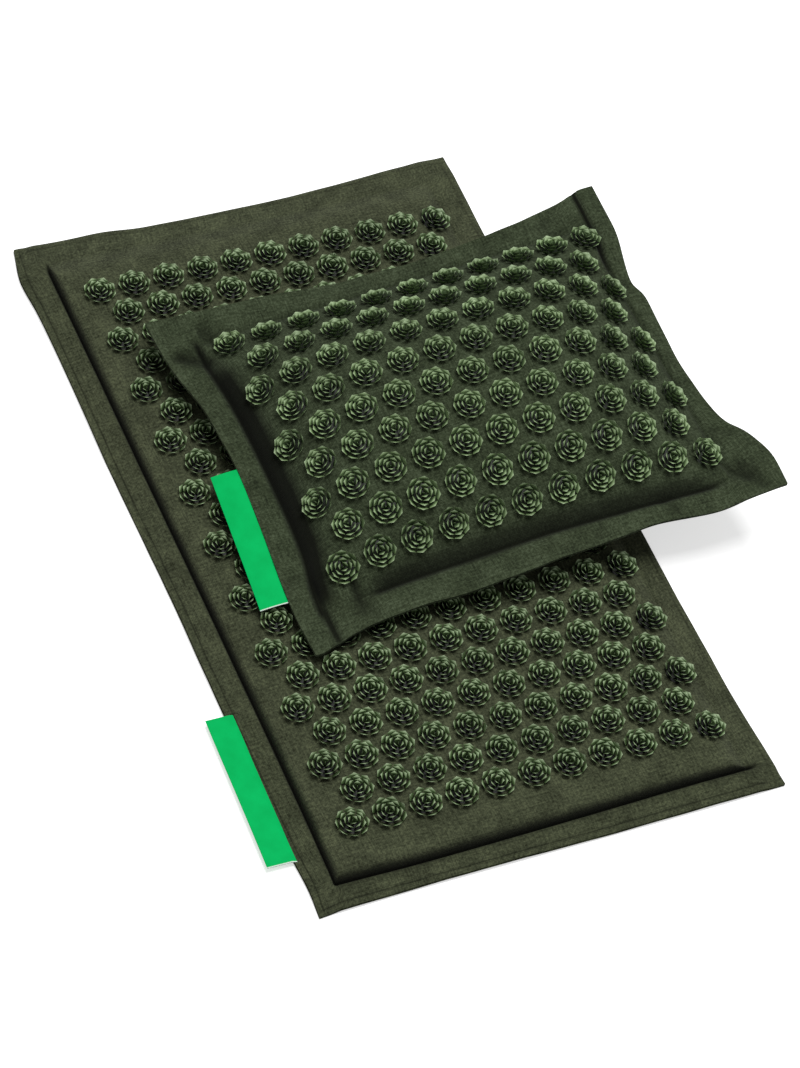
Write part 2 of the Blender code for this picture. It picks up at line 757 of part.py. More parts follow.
def make_labels(finish, mat_panels, pillow_panels):
    upper_y, lower_y = MAT_LABEL_TOP, MAT_LABEL_LOW
    upper = Vector((edge_x(MAT_HALF, MAT_DRAWN_IN, upper_y), upper_y, 0))
    lower = Vector((edge_x(MAT_HALF, MAT_DRAWN_IN, lower_y), lower_y, 0))
    fall = math.atan2(MAT_BORDER_HEIGHT - MAT_EDGE_HEIGHT, MAT_BORDER / 2)
    height = MAT_EDGE_HEIGHT - BORDER_THICKNESS / 2
    frame = label_frame(upper, lower, height, fall)
    make_label("mat_side_label", finish, frame, MAT_LABEL_LENGTH, mat_panels)

    half = PILLOW_HALF + Vector((PILLOW_CORNER_PULL, PILLOW_CORNER_PULL))
    upper_y, lower_y = PILLOW_LABEL_TOP, PILLOW_LABEL_LOW
    upper = Vector((edge_x(half, PILLOW_CORNER_PULL, upper_y), upper_y, 0))
    lower = Vector((edge_x(half, PILLOW_CORNER_PULL, lower_y), lower_y, 0))
    frame = PILLOW_FRAME @ label_frame(upper, lower, -BORDER_THICKNESS / 2, 0)
    make_label("pillow_side_label", finish, frame, PILLOW_LABEL_LENGTH, pillow_panels)


# Zips: in the zip's own frame X runs along it, Z points out of the case and Z is 0 at the cloth's outer face
def tape_edge():
    return COIL_PARTING / 2 + COIL_WIDTH + SEAT_GAP + TAPE_WIDTH


def slider_levels():
    """Heights of the zip's layers, from the cloth's outer face outward."""
    tape_top = -CLOTH - SEAT_GAP
    tape_middle = tape_top - TAPE_THICKNESS / 2
    coil_top = tape_middle + COIL_THICKNESS / 2
    coil_bottom = tape_middle - COIL_THICKNESS / 2
    outer_low = coil_top + SEAT_GAP
    outer_high = outer_low + SLIDER_PLATE
    inner_high = coil_bottom - SEAT_GAP
    inner_low = inner_high - SLIDER_PLATE
    return {
        "tape_top": tape_top,
        "tape_middle": tape_middle,
        "tape_bottom": tape_top - TAPE_THICKNESS,
        "outer_low": outer_low,
        "outer_high": outer_high,
        "inner_high": inner_high,
        "inner_low": inner_low,
        "bridge_top": outer_high + BRIDGE_WINDOW + BRIDGE_BAR_THICKNESS,
        "pivot": outer_high + BRIDGE_WINDOW / 2,
        "depth": -inner_low - CLOTH,
    }


def span(low, high):
    """Size and middle of a stretch."""
    return high - low, (low + high) / 2


def slab(x_range, y_range, z_range):
    sizes, middles = zip(*(span(*stretch) for stretch in (x_range, y_range, z_range)))
    return block(sizes, middles)


def make_slider(name, finish, frame):
    levels = slider_levels()
    half = SLIDER_LENGTH / 2
    wide = tape_edge() - TAPE_WIDTH + SLIDER_FLANGE
    flange_low = wide - SLIDER_FLANGE
    overlap = SLIDER_PLATE / 2
    outer = slab((-half, half), (-wide, wide), (levels["outer_low"], levels["outer_high"]))
    body = add_object(name, outer, finish, frame)
    low_inside = levels["inner_low"] + overlap
    high_inside = levels["outer_high"] - overlap
    web_x = (half - SLIDER_WEB_LENGTH - overlap, half - overlap)
    pieces = {
        "inner_plate": slab((-half, half), (-wide, wide), (levels["inner_low"], levels["inner_high"])),
        "web": slab(web_x, (-SLIDER_WEB / 2, SLIDER_WEB / 2), (low_inside, high_inside)),
    }
    flange_x = (overlap - half, half - overlap)
    for side, label in ((-1, "near"), (1, "far")):
        flange_y = sorted((side * flange_low, side * (wide - SLIDER_WEB / 4)))
        above = (levels["tape_top"] + SEAT_GAP, high_inside)
        below = (low_inside, levels["tape_bottom"] - SEAT_GAP)
        pieces[f"outer_flange_{label}"] = slab(flange_x, flange_y, above)
        pieces[f"inner_flange_{label}"] = slab(flange_x, flange_y, below)
    reach = BRIDGE_LENGTH / 2
    leg_y = (-BRIDGE_WIDTH / 2, BRIDGE_WIDTH / 2)
    leg_z = (high_inside, levels["bridge_top"] - BRIDGE_BAR_THICKNESS / 2)
    for side, label in ((-1, "back"), (1, "front")):
        leg_x = sorted((side * (reach - SLIDER_FLANGE), side * reach))
        pieces[f"bridge_{label}"] = slab(leg_x, leg_y, leg_z)
    bar_overlap = SLIDER_FLANGE / 4
    pieces["bridge_bar"] = slab(
        (bar_overlap - reach, reach - bar_overlap),
        (bar_overlap - BRIDGE_WIDTH / 2, BRIDGE_WIDTH / 2 - bar_overlap),
        (levels["bridge_top"] - BRIDGE_BAR_THICKNESS, levels["bridge_top"]),
    )
    for label, shape in pieces.items():
        combine(body, helper(f"{name}_{label}", shape, frame), "UNION")
    return body


def make_pull_tab(name, finish, frame):
    """A flat pull with an eye round the slider's bridge: X is its length, and its origin is on its pin."""
    thick = TAB_THICKNESS / 2
    pin = TAB_THICKNESS / 2
    eye_end = pin + TAB_EYE_LENGTH
    tab = slab((-pin, TAB_LENGTH), (-TAB_WIDTH / 2, TAB_WIDTH / 2), (-thick, thick))
    upright = [edge for edge in tab.edges if abs(edge.verts[0].co.z - edge.verts[1].co.z) > thick]
    ends = [edge for edge in upright if all(vert.co.x > eye_end for vert in edge.verts)]
    bmesh.ops.bevel(tab, geom=ends, offset=TAB_CORNER_RADIUS, segments=3, affect="EDGES")
    made = add_object(name, tab, finish, frame)
    cut_z = (-thick - CUT_OVERRUN, thick + CUT_OVERRUN)
    eye = slab((pin, eye_end), (-TAB_EYE_WIDTH / 2, TAB_EYE_WIDTH / 2), cut_z)
    combine(made, helper(f"{name}_eye", eye, frame), "DIFFERENCE")
    return made


def make_zip(prefix, frame, length, finishes, hanging_tab):
    levels = slider_levels()
    half = length / 2
    inner = COIL_PARTING / 2
    coil_outer = inner + COIL_WIDTH
    coil_z = (levels["tape_middle"] - COIL_THICKNESS / 2, levels["tape_middle"] + COIL_THICKNESS / 2)
    tape_z = (levels["tape_bottom"], levels["tape_top"])
    end = half + STOP_LENGTH + 2 * SEAT_GAP
    for side, label in ((-1, "left"), (1, "right")):
        coil_y = sorted((side * inner, side * coil_outer))
        tape_y = sorted((side * (coil_outer + SEAT_GAP), side * tape_edge()))
        add_object(f"{prefix}_zip_coil_{label}", slab((-half, half), coil_y, coil_z), finishes["coil"], frame)
        add_object(f"{prefix}_zip_tape_{label}", slab((-end, end), tape_y, tape_z), finishes["tape"], frame)
    for side, label in ((-1, "bottom"), (1, "top")):
        stop_x = sorted((side * (half + SEAT_GAP), side * (half + SEAT_GAP + STOP_LENGTH)))
        shape = slab(stop_x, (-coil_outer, coil_outer), coil_z)
        add_object(f"{prefix}_zip_{label}_stop", shape, finishes["metal"], frame)
    start = half - SLIDER_LENGTH / 2 - SEAT_GAP
    slider_frame = frame @ Matrix.Translation((start, 0, 0))
    make_slider(f"{prefix}_zip_slider", finishes["metal"], slider_frame)
    turn = Matrix.Rotation(-math.pi / 2 if hanging_tab else math.pi, 4, "Y")
    tab_frame = slider_frame @ Matrix.Translation((0, 0, levels["pivot"])) @ turn
    make_pull_tab(f"{prefix}_zip_pull_tab", finishes["metal"], tab_frame)


def build():
    cloth = material("olive linen", (0.048, 0.056, 0.030), 0.92)
    pillow_cloth = material("dark olive linen", (0.040, 0.050, 0.030), 0.92)
    foam = material("pale foam", (0.72, 0.68, 0.56), 0.95)
    husk_bag = material("unbleached husk bag", (0.62, 0.55, 0.42), 0.95)
    ribbon = material("green satin ribbon", (0.005, 0.578, 0.133), 0.6)
    finishes = {
        "tape": material("olive zip tape", (0.045, 0.050, 0.030), 0.9),
        "coil": material("olive nylon coil", (0.040, 0.045, 0.028), 0.5),
        "metal": material("lacquered zinc", (0.060, 0.062, 0.050), 0.4, 1.0),
    }
    mat_panels = make_mat_case(cloth)
    make_mat_core(foam)
    pillow_panels = make_pillow_case(pillow_cloth)
    make_pillow_filling(husk_bag)
    make_labels(ribbon, mat_panels, pillow_panels)
    make_zip("mat", mat_zip_frame(), MAT_ZIP_LENGTH, finishes, hanging_tab=False)
    make_zip("pillow", pillow_zip_frame(), PILLOW_ZIP_LENGTH, finishes, hanging_tab=True)


build()
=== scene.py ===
# %% [markdown]
# # An acupressure mat and its pillow
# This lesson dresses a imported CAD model, which gives the sizes and the joints. The mat is a foam pad in a
# linen case, the pillow is a husk bag in a case of the same kind, and both carry rows of moulded plastic
# rosettes whose petals end in points.

import json
import math
import random

import bmesh
import bpy
from mathutils import Euler, Matrix, Vector, noise
from mathutils.bvhtree import BVHTree

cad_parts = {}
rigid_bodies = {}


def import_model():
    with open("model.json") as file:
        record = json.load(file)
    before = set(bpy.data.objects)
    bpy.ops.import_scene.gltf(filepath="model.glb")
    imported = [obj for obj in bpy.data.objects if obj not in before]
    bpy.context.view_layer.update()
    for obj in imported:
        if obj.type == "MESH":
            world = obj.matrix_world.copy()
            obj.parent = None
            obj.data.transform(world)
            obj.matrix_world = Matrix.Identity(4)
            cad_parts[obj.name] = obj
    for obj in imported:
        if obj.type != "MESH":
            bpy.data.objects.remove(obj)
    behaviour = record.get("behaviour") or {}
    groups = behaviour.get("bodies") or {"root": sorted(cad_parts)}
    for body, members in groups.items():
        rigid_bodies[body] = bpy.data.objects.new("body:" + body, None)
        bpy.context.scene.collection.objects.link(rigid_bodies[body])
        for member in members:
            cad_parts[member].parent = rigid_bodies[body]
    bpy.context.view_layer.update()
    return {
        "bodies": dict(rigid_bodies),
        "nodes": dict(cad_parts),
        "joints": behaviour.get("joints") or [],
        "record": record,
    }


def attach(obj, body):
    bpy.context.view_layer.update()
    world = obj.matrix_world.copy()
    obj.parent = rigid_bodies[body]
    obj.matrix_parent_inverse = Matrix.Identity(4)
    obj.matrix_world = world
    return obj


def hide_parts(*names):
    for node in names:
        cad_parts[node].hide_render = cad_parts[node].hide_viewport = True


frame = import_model()

# %% [markdown]
# ## Camera
# The picture was taken from above the near left corner with a long lens, so the mat's long sides stay nearly
# parallel. The camera leans a little, which its up direction holds.


# %% Camera
def new_object(name, data):
    made = bpy.data.objects.new(name, data)
    bpy.context.scene.collection.objects.link(made)
    return made


def aimed(forward, up):
    """The turn of a camera or an area lamp that looks along forward."""
    back = -Vector(forward).normalized()
    side = Vector(up).cross(back).normalized()
    return Matrix((side, back.cross(side), back)).transposed().to_4x4()


camera = new_object("camera", bpy.data.cameras.new("camera"))
camera.matrix_world = Matrix.Translation((-1.1582, -1.7552, 2.6256)) @ aimed(
    (0.34727, 0.51629, -0.78285), (0.22648, 0.76391, 0.60427)
)
camera.data.lens = 131.8
camera.data.sensor_width = 36
camera.data.clip_end = 100
bpy.context.scene.camera = camera
bpy.context.scene.view_settings.view_transform = "Standard"
print("camera looks from", [round(value, 2) for value in camera.location])

# %% [markdown]
# ## Small helpers
# Colours are written as sRGB hex, the way a colour picker shows them, and turned into linear values. One
# function adds a node with its settings and its links, and another ends each material: its shader and bump.


# %% Helpers for colours and nodes
def hex_colour(text):
    """A linear colour from an sRGB hex value."""
    values = [int(text[index : index + 2], 16) / 255 for index in (1, 3, 5)]
    linear = [value / 12.92 if value <= 0.04045 else ((value + 0.055) / 1.055) ** 2.4 for value in values]
    return (*linear, 1.0)


def add_node(tree, kind, inputs=None, stops=(), **settings):
    """A node with its settings. An input is linked where its value is a socket, and set where it is not.

    A colour ramp's stops are positions and hex colours: the first, the last, and then those between.
    """
    node = tree.nodes.new(kind)
    for name, value in settings.items():
        setattr(node, name, value)
    for name, value in (inputs or {}).items():
        if isinstance(value, bpy.types.NodeSocket):
            tree.links.new(value, node.inputs[name])
        else:
            node.inputs[name].default_value = value
    for index, (position, colour) in enumerate(stops):
        elements = node.color_ramp.elements
        stop = elements[index] if index < 2 else elements.new(position)
        stop.position = position
        stop.color = hex_colour(colour)
    return node


def new_material(name):
    made = bpy.data.materials.new(name)
    made.use_nodes = True
    made.node_tree.nodes.clear()
    return made, made.node_tree


def surface(tree, colour, height, strength, depth, roughness, others):
    """The end of a material: its shader with its colour and its bump, whose depth is in metres."""
    bump = add_node(tree, "ShaderNodeBump", {"Strength": strength, "Distance": depth, "Height": height})
    inputs = {"Base Color": colour, "Normal": bump.outputs[0], "Roughness": roughness, **others}
    shader = add_node(tree, "ShaderNodeBsdfPrincipled", inputs)
    add_node(tree, "ShaderNodeOutputMaterial", {"Surface": shader.outputs[0]})


print("dark olive is", [round(value, 3) for value in hex_colour("#43482F")])

# %% [markdown]
# ## Studio light
# One broad lamp hangs high above the set, a little to the right and the far side, so that each petal throws
# a short shadow and the steep left and near sides stay dark. The white surround fills in from all sides.

# %% Lamp and surround
LAMP_PLACE = Vector((0.60, 0.30, 4.25))
key_lamp = new_object("key lamp", bpy.data.lights.new("key lamp", "AREA"))
key_lamp.matrix_world = Matrix.Translation(LAMP_PLACE) @ aimed(-LAMP_PLACE, (0, 1, 0.01))
key_lamp.data.size = 2.2
key_lamp.data.energy = 139

world = bpy.data.worlds.new("white studio")
bpy.context.scene.world = world
world.use_nodes = True
tree = world.node_tree
tree.nodes.clear()
path = add_node(tree, "ShaderNodeLightPath")
rays = {0: path.outputs["Is Camera Ray"], 1: path.outputs["Is Transmission Ray"]}
seen = add_node(tree, "ShaderNodeMath", rays, operation="MAXIMUM").outputs[0]
lit, plain = (
    add_node(tree, "ShaderNodeBackground", {"Color": (1, 1, 1, 1), "Strength": strength}).outputs[0]
    for strength in (0.30, 1.0)
)
surround = add_node(tree, "ShaderNodeMixShader", {0: seen, 1: lit, 2: plain})
add_node(tree, "ShaderNodeOutputWorld", {"Surface": surround.outputs[0]})
print("lamp and surround made")

# %% [markdown]
# ## Floor
# A plain white floor. What the camera sees of it gets a little added brightness, so that it reads as pure
# white where the lamp reaches it and as soft grey in the object's shadow.

# %% Floor
bpy.ops.object.select_all(action="DESELECT")
bpy.ops.mesh.primitive_plane_add(size=30, location=(0, 0, 0))
floor = bpy.context.active_object
floor.name = "floor"
paper, tree = new_material("white paper sweep")
path = add_node(tree, "ShaderNodeLightPath")
matt = add_node(tree, "ShaderNodeBsdfDiffuse", {"Color": hex_colour("#F4F4F4")}).outputs[0]
lift = add_node(tree, "ShaderNodeEmission", {"Color": (1, 1, 1, 1), "Strength": 0.58}).outputs[0]
both = add_node(tree, "ShaderNodeAddShader", {0: matt, 1: lift}).outputs[0]
sweep = add_node(tree, "ShaderNodeMixShader", {0: path.outputs["Is Camera Ray"], 1: matt, 2: both})
add_node(tree, "ShaderNodeOutputMaterial", {"Surface": sweep.outputs[0]})
floor.data.materials.append(paper)
print("floor made")

# %% [markdown]
# ## Linen
# Both cases are a coarse, matt linen in plain weave, dyed dark olive. Up close it shows crossing threads,
# thick and thin places called slubs, and a faint cloudiness of the dye. The pattern reads the cloth's own UV
# map, in metres, so the weave follows the surface over every edge. Real threads lie about 0.6 mm apart, which
# is finer than a pixel here, so they are drawn 1.3 mm apart.

# %% Linen
THREAD_SPACING = 0.0013
# The dark of the stitches, also painted into the grooves and the creases as shade
STITCHES_AND_PAINTED_SHADE = "#0C0E07"
# A wave texture turns through 20 radians in a unit of its scale
WAVE_TURN = 2 * math.pi / 20


def linen(name, deep, middle, pale):
    made, tree = new_material(name)
    cloth = add_node(tree, "ShaderNodeUVMap", uv_map="cloth").outputs[0]
    wave = {"Vector": cloth, "Scale": WAVE_TURN / THREAD_SPACING}
    wave |= {"Distortion": 1.6, "Detail": 1.0, "Detail Scale": 0.35}
    threads, slubs = {}, {}
    for number, (direction, stretch) in enumerate((("X", (900, 55, 1)), ("Y", (55, 900, 1)))):
        threads[number] = add_node(tree, "ShaderNodeTexWave", wave, bands_direction=direction).outputs["Fac"]
        drawn = add_node(tree, "ShaderNodeMapping", {"Vector": cloth, "Scale": stretch}).outputs[0]
        grain = {"Vector": drawn, "Scale": 1.0, "Detail": 3.0}
        slubs[number] = add_node(tree, "ShaderNodeTexNoise", grain).outputs["Fac"]
    weave = add_node(tree, "ShaderNodeMath", threads, operation="MULTIPLY").outputs[0]
    slub = add_node(tree, "ShaderNodeMath", slubs, operation="ADD").outputs[0]
    cloud = {"Vector": cloth, "Scale": 38.0, "Detail": 6.0, "Roughness": 0.62}
    cloud = add_node(tree, "ShaderNodeTexNoise", cloud).outputs["Fac"]
    speckle = {"Vector": cloth, "Scale": 420.0, "Detail": 2.0}
    speckle = add_node(tree, "ShaderNodeTexNoise", speckle).outputs["Fac"]
    tone = add_node(tree, "ShaderNodeMath", {0: slub, 1: 0.26}, operation="MULTIPLY").outputs[0]
    for pattern, share in ((cloud, 0.34), (speckle, 0.44), (weave, 0.10)):
        tones = {0: pattern, 1: share, 2: tone}
        tone = add_node(tree, "ShaderNodeMath", tones, operation="MULTIPLY_ADD").outputs[0]
    stops = (0.51, deep), (0.85, pale), (0.675, middle)
    dyed = add_node(tree, "ShaderNodeValToRGB", {"Fac": tone}, stops).outputs["Color"]
    # The seam attribute darkens the cloth: dark stitches along the mat's hem, and painted shade in the
    # grooves, on the steep cloth that rises from them and in the pillow's creases
    seam = add_node(tree, "ShaderNodeAttribute", attribute_name="seam").outputs["Fac"]
    sewn = {"Factor": seam, "A": dyed, "B": hex_colour(STITCHES_AND_PAINTED_SHADE)}
    sewn = add_node(tree, "ShaderNodeMix", sewn, data_type="RGBA").outputs["Result"]
    height = {0: slub, 1: 0.5, 2: weave}
    height = add_node(tree, "ShaderNodeMath", height, operation="MULTIPLY_ADD").outputs[0]
    sheen = {"Specular IOR Level": 0.1, "Sheen Weight": 0.03, "Sheen Roughness": 0.6}
    surface(tree, sewn, height, 0.55, 0.0005, 1.0, sheen)
    return made


mat_linen = linen("olive linen, plain weave", "#25281A", "#434835", "#61674C")
pillow_linen = linen("dark olive linen, plain weave", "#1F2518", "#39422E", "#556049")
print("linen threads every", THREAD_SPACING * 1000, "mm")

# %% [markdown]
# ## Rosette plastic
# The rosettes are moulded ABS in a slightly greener olive. A petal catches the light on its rim, and that
# light
# is painted in: the rims are coloured much paler than the feet as painted highlight, and the feet dark as
# painted shade. Each rosette's mesh says how near a corner is to a rim, and how light the whole rosette is.
# The pillow's plastic is a little mossier, with weaker painted highlight and shade.


# %% Rosette plastic
def petal_plastic(name, foot, wall, shoulder, point):
    """A plastic whose colour runs from the foot of a petal to its point: painted shade to painted highlight.
    """
    made, tree = new_material(name)
    rim, tone = (
        add_node(tree, "ShaderNodeAttribute", attribute_name=read).outputs["Fac"] for read in ("rim", "tone")
    )
    stops = (0, foot), (1, point), (0.42, wall), (0.70, shoulder)
    # Painted shade at the feet and painted highlight on the rims and points
    colour = add_node(tree, "ShaderNodeValToRGB", {"Fac": rim}, stops).outputs["Color"]
    where = add_node(tree, "ShaderNodeTexCoord").outputs["Object"]
    grain = {"Vector": where, "Scale": 260.0, "Detail": 3.0}
    grain = add_node(tree, "ShaderNodeTexNoise", grain).outputs["Fac"]
    value = {0: grain, 1: 0.5, 2: tone}
    value = add_node(tree, "ShaderNodeMath", value, operation="MULTIPLY_ADD").outputs[0]
    varied = add_node(tree, "ShaderNodeHueSaturation", {"Color": colour, "Value": value}).outputs["Color"]
    surface(tree, varied, grain, 0.15, 0.0003, 0.5, {"Specular IOR Level": 0.25})
    return made


mat_plastic = petal_plastic("moulded ABS, olive green", "#060A04", "#243219", "#536A40", "#BACFA6")
pillow_plastic = petal_plastic("moulded ABS, moss green", "#131B0D", "#394B2F", "#657C4F", "#AFC59A")
print("petal plastics made")

# %% [markdown]
# ## Ribbon, foam, husk bag and zip finishes
# The side labels are a bright green satin ribbon, left blank. Satin shows fine ribs across and a soft gloss,
# and its cut lower end shows as a pale line. The foam is open-celled, the bag inside the pillow is unbleached
# cotton, the zip is woven tape with nylon coils, and its metal parts are lacquered zinc.

# %% Ribbon and hidden finishes
RIB_SPACING = 0.0010
green_ribbon, tree = new_material("satin ribbon, green")
cloth = add_node(tree, "ShaderNodeUVMap", uv_map="cloth").outputs[0]
ribs = {"Vector": cloth, "Scale": WAVE_TURN / RIB_SPACING, "Distortion": 0.8}
ribs = add_node(tree, "ShaderNodeTexWave", ribs, bands_direction="X").outputs["Fac"]
cloud = {"Vector": cloth, "Scale": 60.0, "Detail": 4.0}
cloud = add_node(tree, "ShaderNodeTexNoise", cloud).outputs["Fac"]
stops = (0.3, "#04B65C"), (0.7, "#06C466")
satin = add_node(tree, "ShaderNodeValToRGB", {"Fac": cloud}, stops).outputs["Color"]
cut = add_node(tree, "ShaderNodeAttribute", attribute_name="seam").outputs["Fac"]
ends = {"Factor": cut, "A": satin, "B": hex_colour("#E8F6EC")}
ends = add_node(tree, "ShaderNodeMix", ends, data_type="RGBA").outputs["Result"]
surface(tree, ends, ribs, 0.12, 0.0002, 0.7, {"Specular IOR Level": 0.05})


def grained(name, low, high, scale, roughness, metallic=0.0, depth=0.0003):
    """A finish whose colour and height follow one noise, with scale as its grains to the metre."""
    made, tree = new_material(name)
    where = add_node(tree, "ShaderNodeTexCoord").outputs["Object"]
    grain = {"Vector": where, "Scale": scale, "Detail": 5.0}
    grain = add_node(tree, "ShaderNodeTexNoise", grain).outputs["Fac"]
    stops = (0.35, low), (0.65, high)
    colour = add_node(tree, "ShaderNodeValToRGB", {"Fac": grain}, stops).outputs["Color"]
    surface(tree, colour, grain, 0.4, depth, roughness, {"Metallic": metallic})
    return made


foam = grained("open-celled foam", "#CFC7A9", "#EBE4CB", 900, 0.95, depth=0.0006)
husk_cotton = grained("unbleached cotton", "#B8A882", "#D6C8A3", 700, 0.95)
zip_tape = grained("woven zip tape, olive", "#2B2F1E", "#454B34", 1200, 0.9)
zip_coil = grained("nylon coil, olive", "#2A2E1F", "#3B402D", 500, 0.45)
zip_metal = grained("lacquered zinc, dark", "#3C3D38", "#55564F", 300, 0.38, metallic=1.0, depth=0.0001)
print("hidden finishes made")

# %% [markdown]
# ## How a case is laid out
# A sewn case is easiest to model as one grid of cloth, pulled into the outline and raised over its filling.
# The grid's lines lie close together at the border's seam, where the cloth turns sharply, and wide apart over
# the pad. The same lines serve the upper and the lower panel, so both meet at the edge. Seams and edges
# wander, so each is a table of places in millimetres.

# %% Lines of the grid
CLOTH = 0.0011
BORDER_THICKNESS = 0.0029
EDGE_LINES = (0, 0.0008, 0.0028, 0.0052, 0.0062, 0.0072, 0.0100, 0.0135)
SEAM_LINES = (-0.0040, -0.0023, -0.0011, 0, 0.0009, 0.0020, 0.0035, 0.0056, 0.0086, 0.0130)


def spread(low, high, steps):
    """Even places from low to high."""
    return [low + (high - low) * step / steps for step in range(steps + 1)]


def grid_lines(half, border, step, extra):
    """Places of the grid's lines from one edge to the other: close together at the hem and at the seam."""
    places = list(EDGE_LINES) + [border + reach for reach in SEAM_LINES]
    inner = half - places[-1]
    middle = spread(-inner, inner, round(2 * inner / step))[1:-1]
    lines = [-half + place for place in places] + middle + [half - place for place in places]
    clear = step * 0.45
    kept = [line for line in lines if all(abs(line - place) > clear or abs(line) > inner for place in extra)]
    return sorted(kept + list(extra))


print("lines at the hem and the seam", len(EDGE_LINES) + len(SEAM_LINES))


# %% Seams and edges
def metres(values):
    """Values written in millimetres, in rows or in tables of rows by name."""
    if isinstance(values, dict):
        return {name: metres(rows) for name, rows in values.items()}
    return tuple(metres(row) for row in values) if isinstance(values, tuple) else values / 1000


def along_edge(places, reach):
    """The edge's place at a reach along it, on a smooth curve through the given places."""
    reach = min(max(reach, places[0][0]), places[-1][0])
    last = len(places) - 1
    index = next(number for number in range(last) if reach <= places[number + 1][0])

    def slope(number):
        before, after = places[max(number - 1, 0)], places[min(number + 1, last)]
        return (after[1] - before[1]) / (after[0] - before[0])

    (start, low), (end, high) = places[index], places[index + 1]
    share = (reach - start) / (end - start)
    lean = slope(index) * (1 - share) - slope(index + 1) * share
    return low + (high - low) * share * share * (3 - 2 * share) + (end - start) * lean * share * (1 - share)


def outline(x, y, pad, border, seams, edges, stretch=1.0):
    """Where a nominal place of the grid lies, from the real places of the seams and edges beside it."""
    real = []
    for reach, half, across, sides in ((x, pad[0], y, ("left", "right")), (y, pad[1], x, ("near", "far"))):
        side = sides[0 if reach < 0 else 1]
        seam, edge = (along_edge(table[side], across * stretch) for table in (seams, edges))
        share = abs(reach) / half
        real.append(seam * share if share < 1 else seam + (edge - seam) * (abs(reach) - half) / border)
    return real


print("21 mm is", metres(21), "m")


# %% Grid of cloth
def cloth_grid(name, lines_x, lines_y, place_at, facing_down=False):
    """A grid primitive with each of its points moved to where place_at puts it, and its UV map in metres."""
    bpy.ops.object.select_all(action="DESELECT")
    bpy.ops.mesh.primitive_grid_add(x_subdivisions=len(lines_x) - 1, y_subdivisions=len(lines_y) - 1, size=1)
    made = bpy.context.active_object
    made.name = made.data.name = name
    width = len(lines_x)
    for index, vert in enumerate(made.data.vertices):
        vert.co = place_at(lines_x[index % width], lines_y[index // width])
    lay_out_cloth(made.data, width)
    if facing_down:
        made.data.flip_normals()
    return made


def lay_out_cloth(mesh, width):
    """UVs as lengths of cloth, measured from the middle along each line of the grid."""
    points = [vert.co for vert in mesh.vertices]
    rows = [range(first, first + width) for first in range(0, len(points), width)]
    columns = [range(first, len(points), width) for first in range(width)]
    reached = [{}, {}]
    for lines, lengths in zip((rows, columns), reached):
        for line in lines:
            run = lengths[line[0]] = 0.0
            for before, index in zip(line, line[1:]):
                run += (points[index] - points[before]).length
                lengths[index] = run
            for index in line:
                lengths[index] -= run / 2
    layer = mesh.uv_layers.active
    layer.name = "cloth"
    for loop in mesh.loops:
        layer.uv[loop.index].vector = [lengths[loop.vertex_index] for lengths in reached]


def set_attribute(made, name, values):
    """A number for each point, such as how near it lies to a seam."""
    layer = made.data.attributes.new(name, "FLOAT", "POINT")
    for item, value in zip(layer.data, values):
        item.value = value


print("grids get a UV map in metres")


# %% Soft steps and creases
def clamp(share):
    return min(max(share, 0.0), 1.0)


def smooth(share):
    share = clamp(share)
    return share * share * (3 - 2 * share)


def bell(distance, width):
    return math.exp(-((distance / width) ** 2))


def waves(x, y, scale, layer):
    return noise.noise((x * scale, y * scale, layer))


def soft_least(values, reach):
    """The least of the values, rounded where two of them meet."""
    least = values[0]
    for value in values[1:]:
        share = clamp(0.5 + 0.5 * (value - least) / reach)
        least = value * (1 - share) + least * share - reach * share * (1 - share)
    return least


def crease_depth(x, y, creases):
    """How deep the creases lie at a place: each is a line with a width and a depth, and fades at its ends."""
    deep = 0.0
    for x1, y1, x2, y2, width, depth in creases:
        run = Vector((x2 - x1, y2 - y1))
        share = (Vector((x - x1, y - y1)).dot(run)) / run.length_squared
        nearest = Vector((x1, y1)) + run * clamp(share)
        away = (Vector((x, y)) - nearest).length / width
        if away < 2.5:
            deep += depth * math.exp(-away * away) * smooth(min(share, 1 - share) * 4 + 0.25)
    return deep


print("a smooth step is at", smooth(0.25), "a quarter of the way")

# %% [markdown]
# ## The mat's shape
# The foam pad gives a flat top with rounded sides. Along the left and the near side the cloth is pulled deep
# into the seam, and along the far and the right side it runs out nearly level. The flat border lies a little
# above the floor and waves gently, and its outer seam shows as a line parallel to the edge.

# %% Sizes of the mat
MAT_HALF_X = 0.213
MAT_HALF_Y = 0.365
MAT_BORDER = 0.026
PAD_HALF_X = MAT_HALF_X - MAT_BORDER
PAD_HALF_Y = MAT_HALF_Y - MAT_BORDER
PAD_TOP = 0.021
PAD_SIDE_RUN = 0.0062
SIDE_BULGE = 0.0016
SIDE_BULGE_RUN = 0.0080
# How far the gentle slope runs inside the left, the near, the right and the far seam
GENTLE_RUNS = (0.026, 0.026, 0.018, 0.026)
BORDER_HEIGHT = 0.0093
BORDER_LEAST = 0.0034
LEVEL_BORDER = 0.003
HEM_WIDTH = 0.0062
HEM_ROLL = 0.0016
GROOVE_HALF_WIDTH = 0.0017
GROOVE_DEPTH = 0.0052
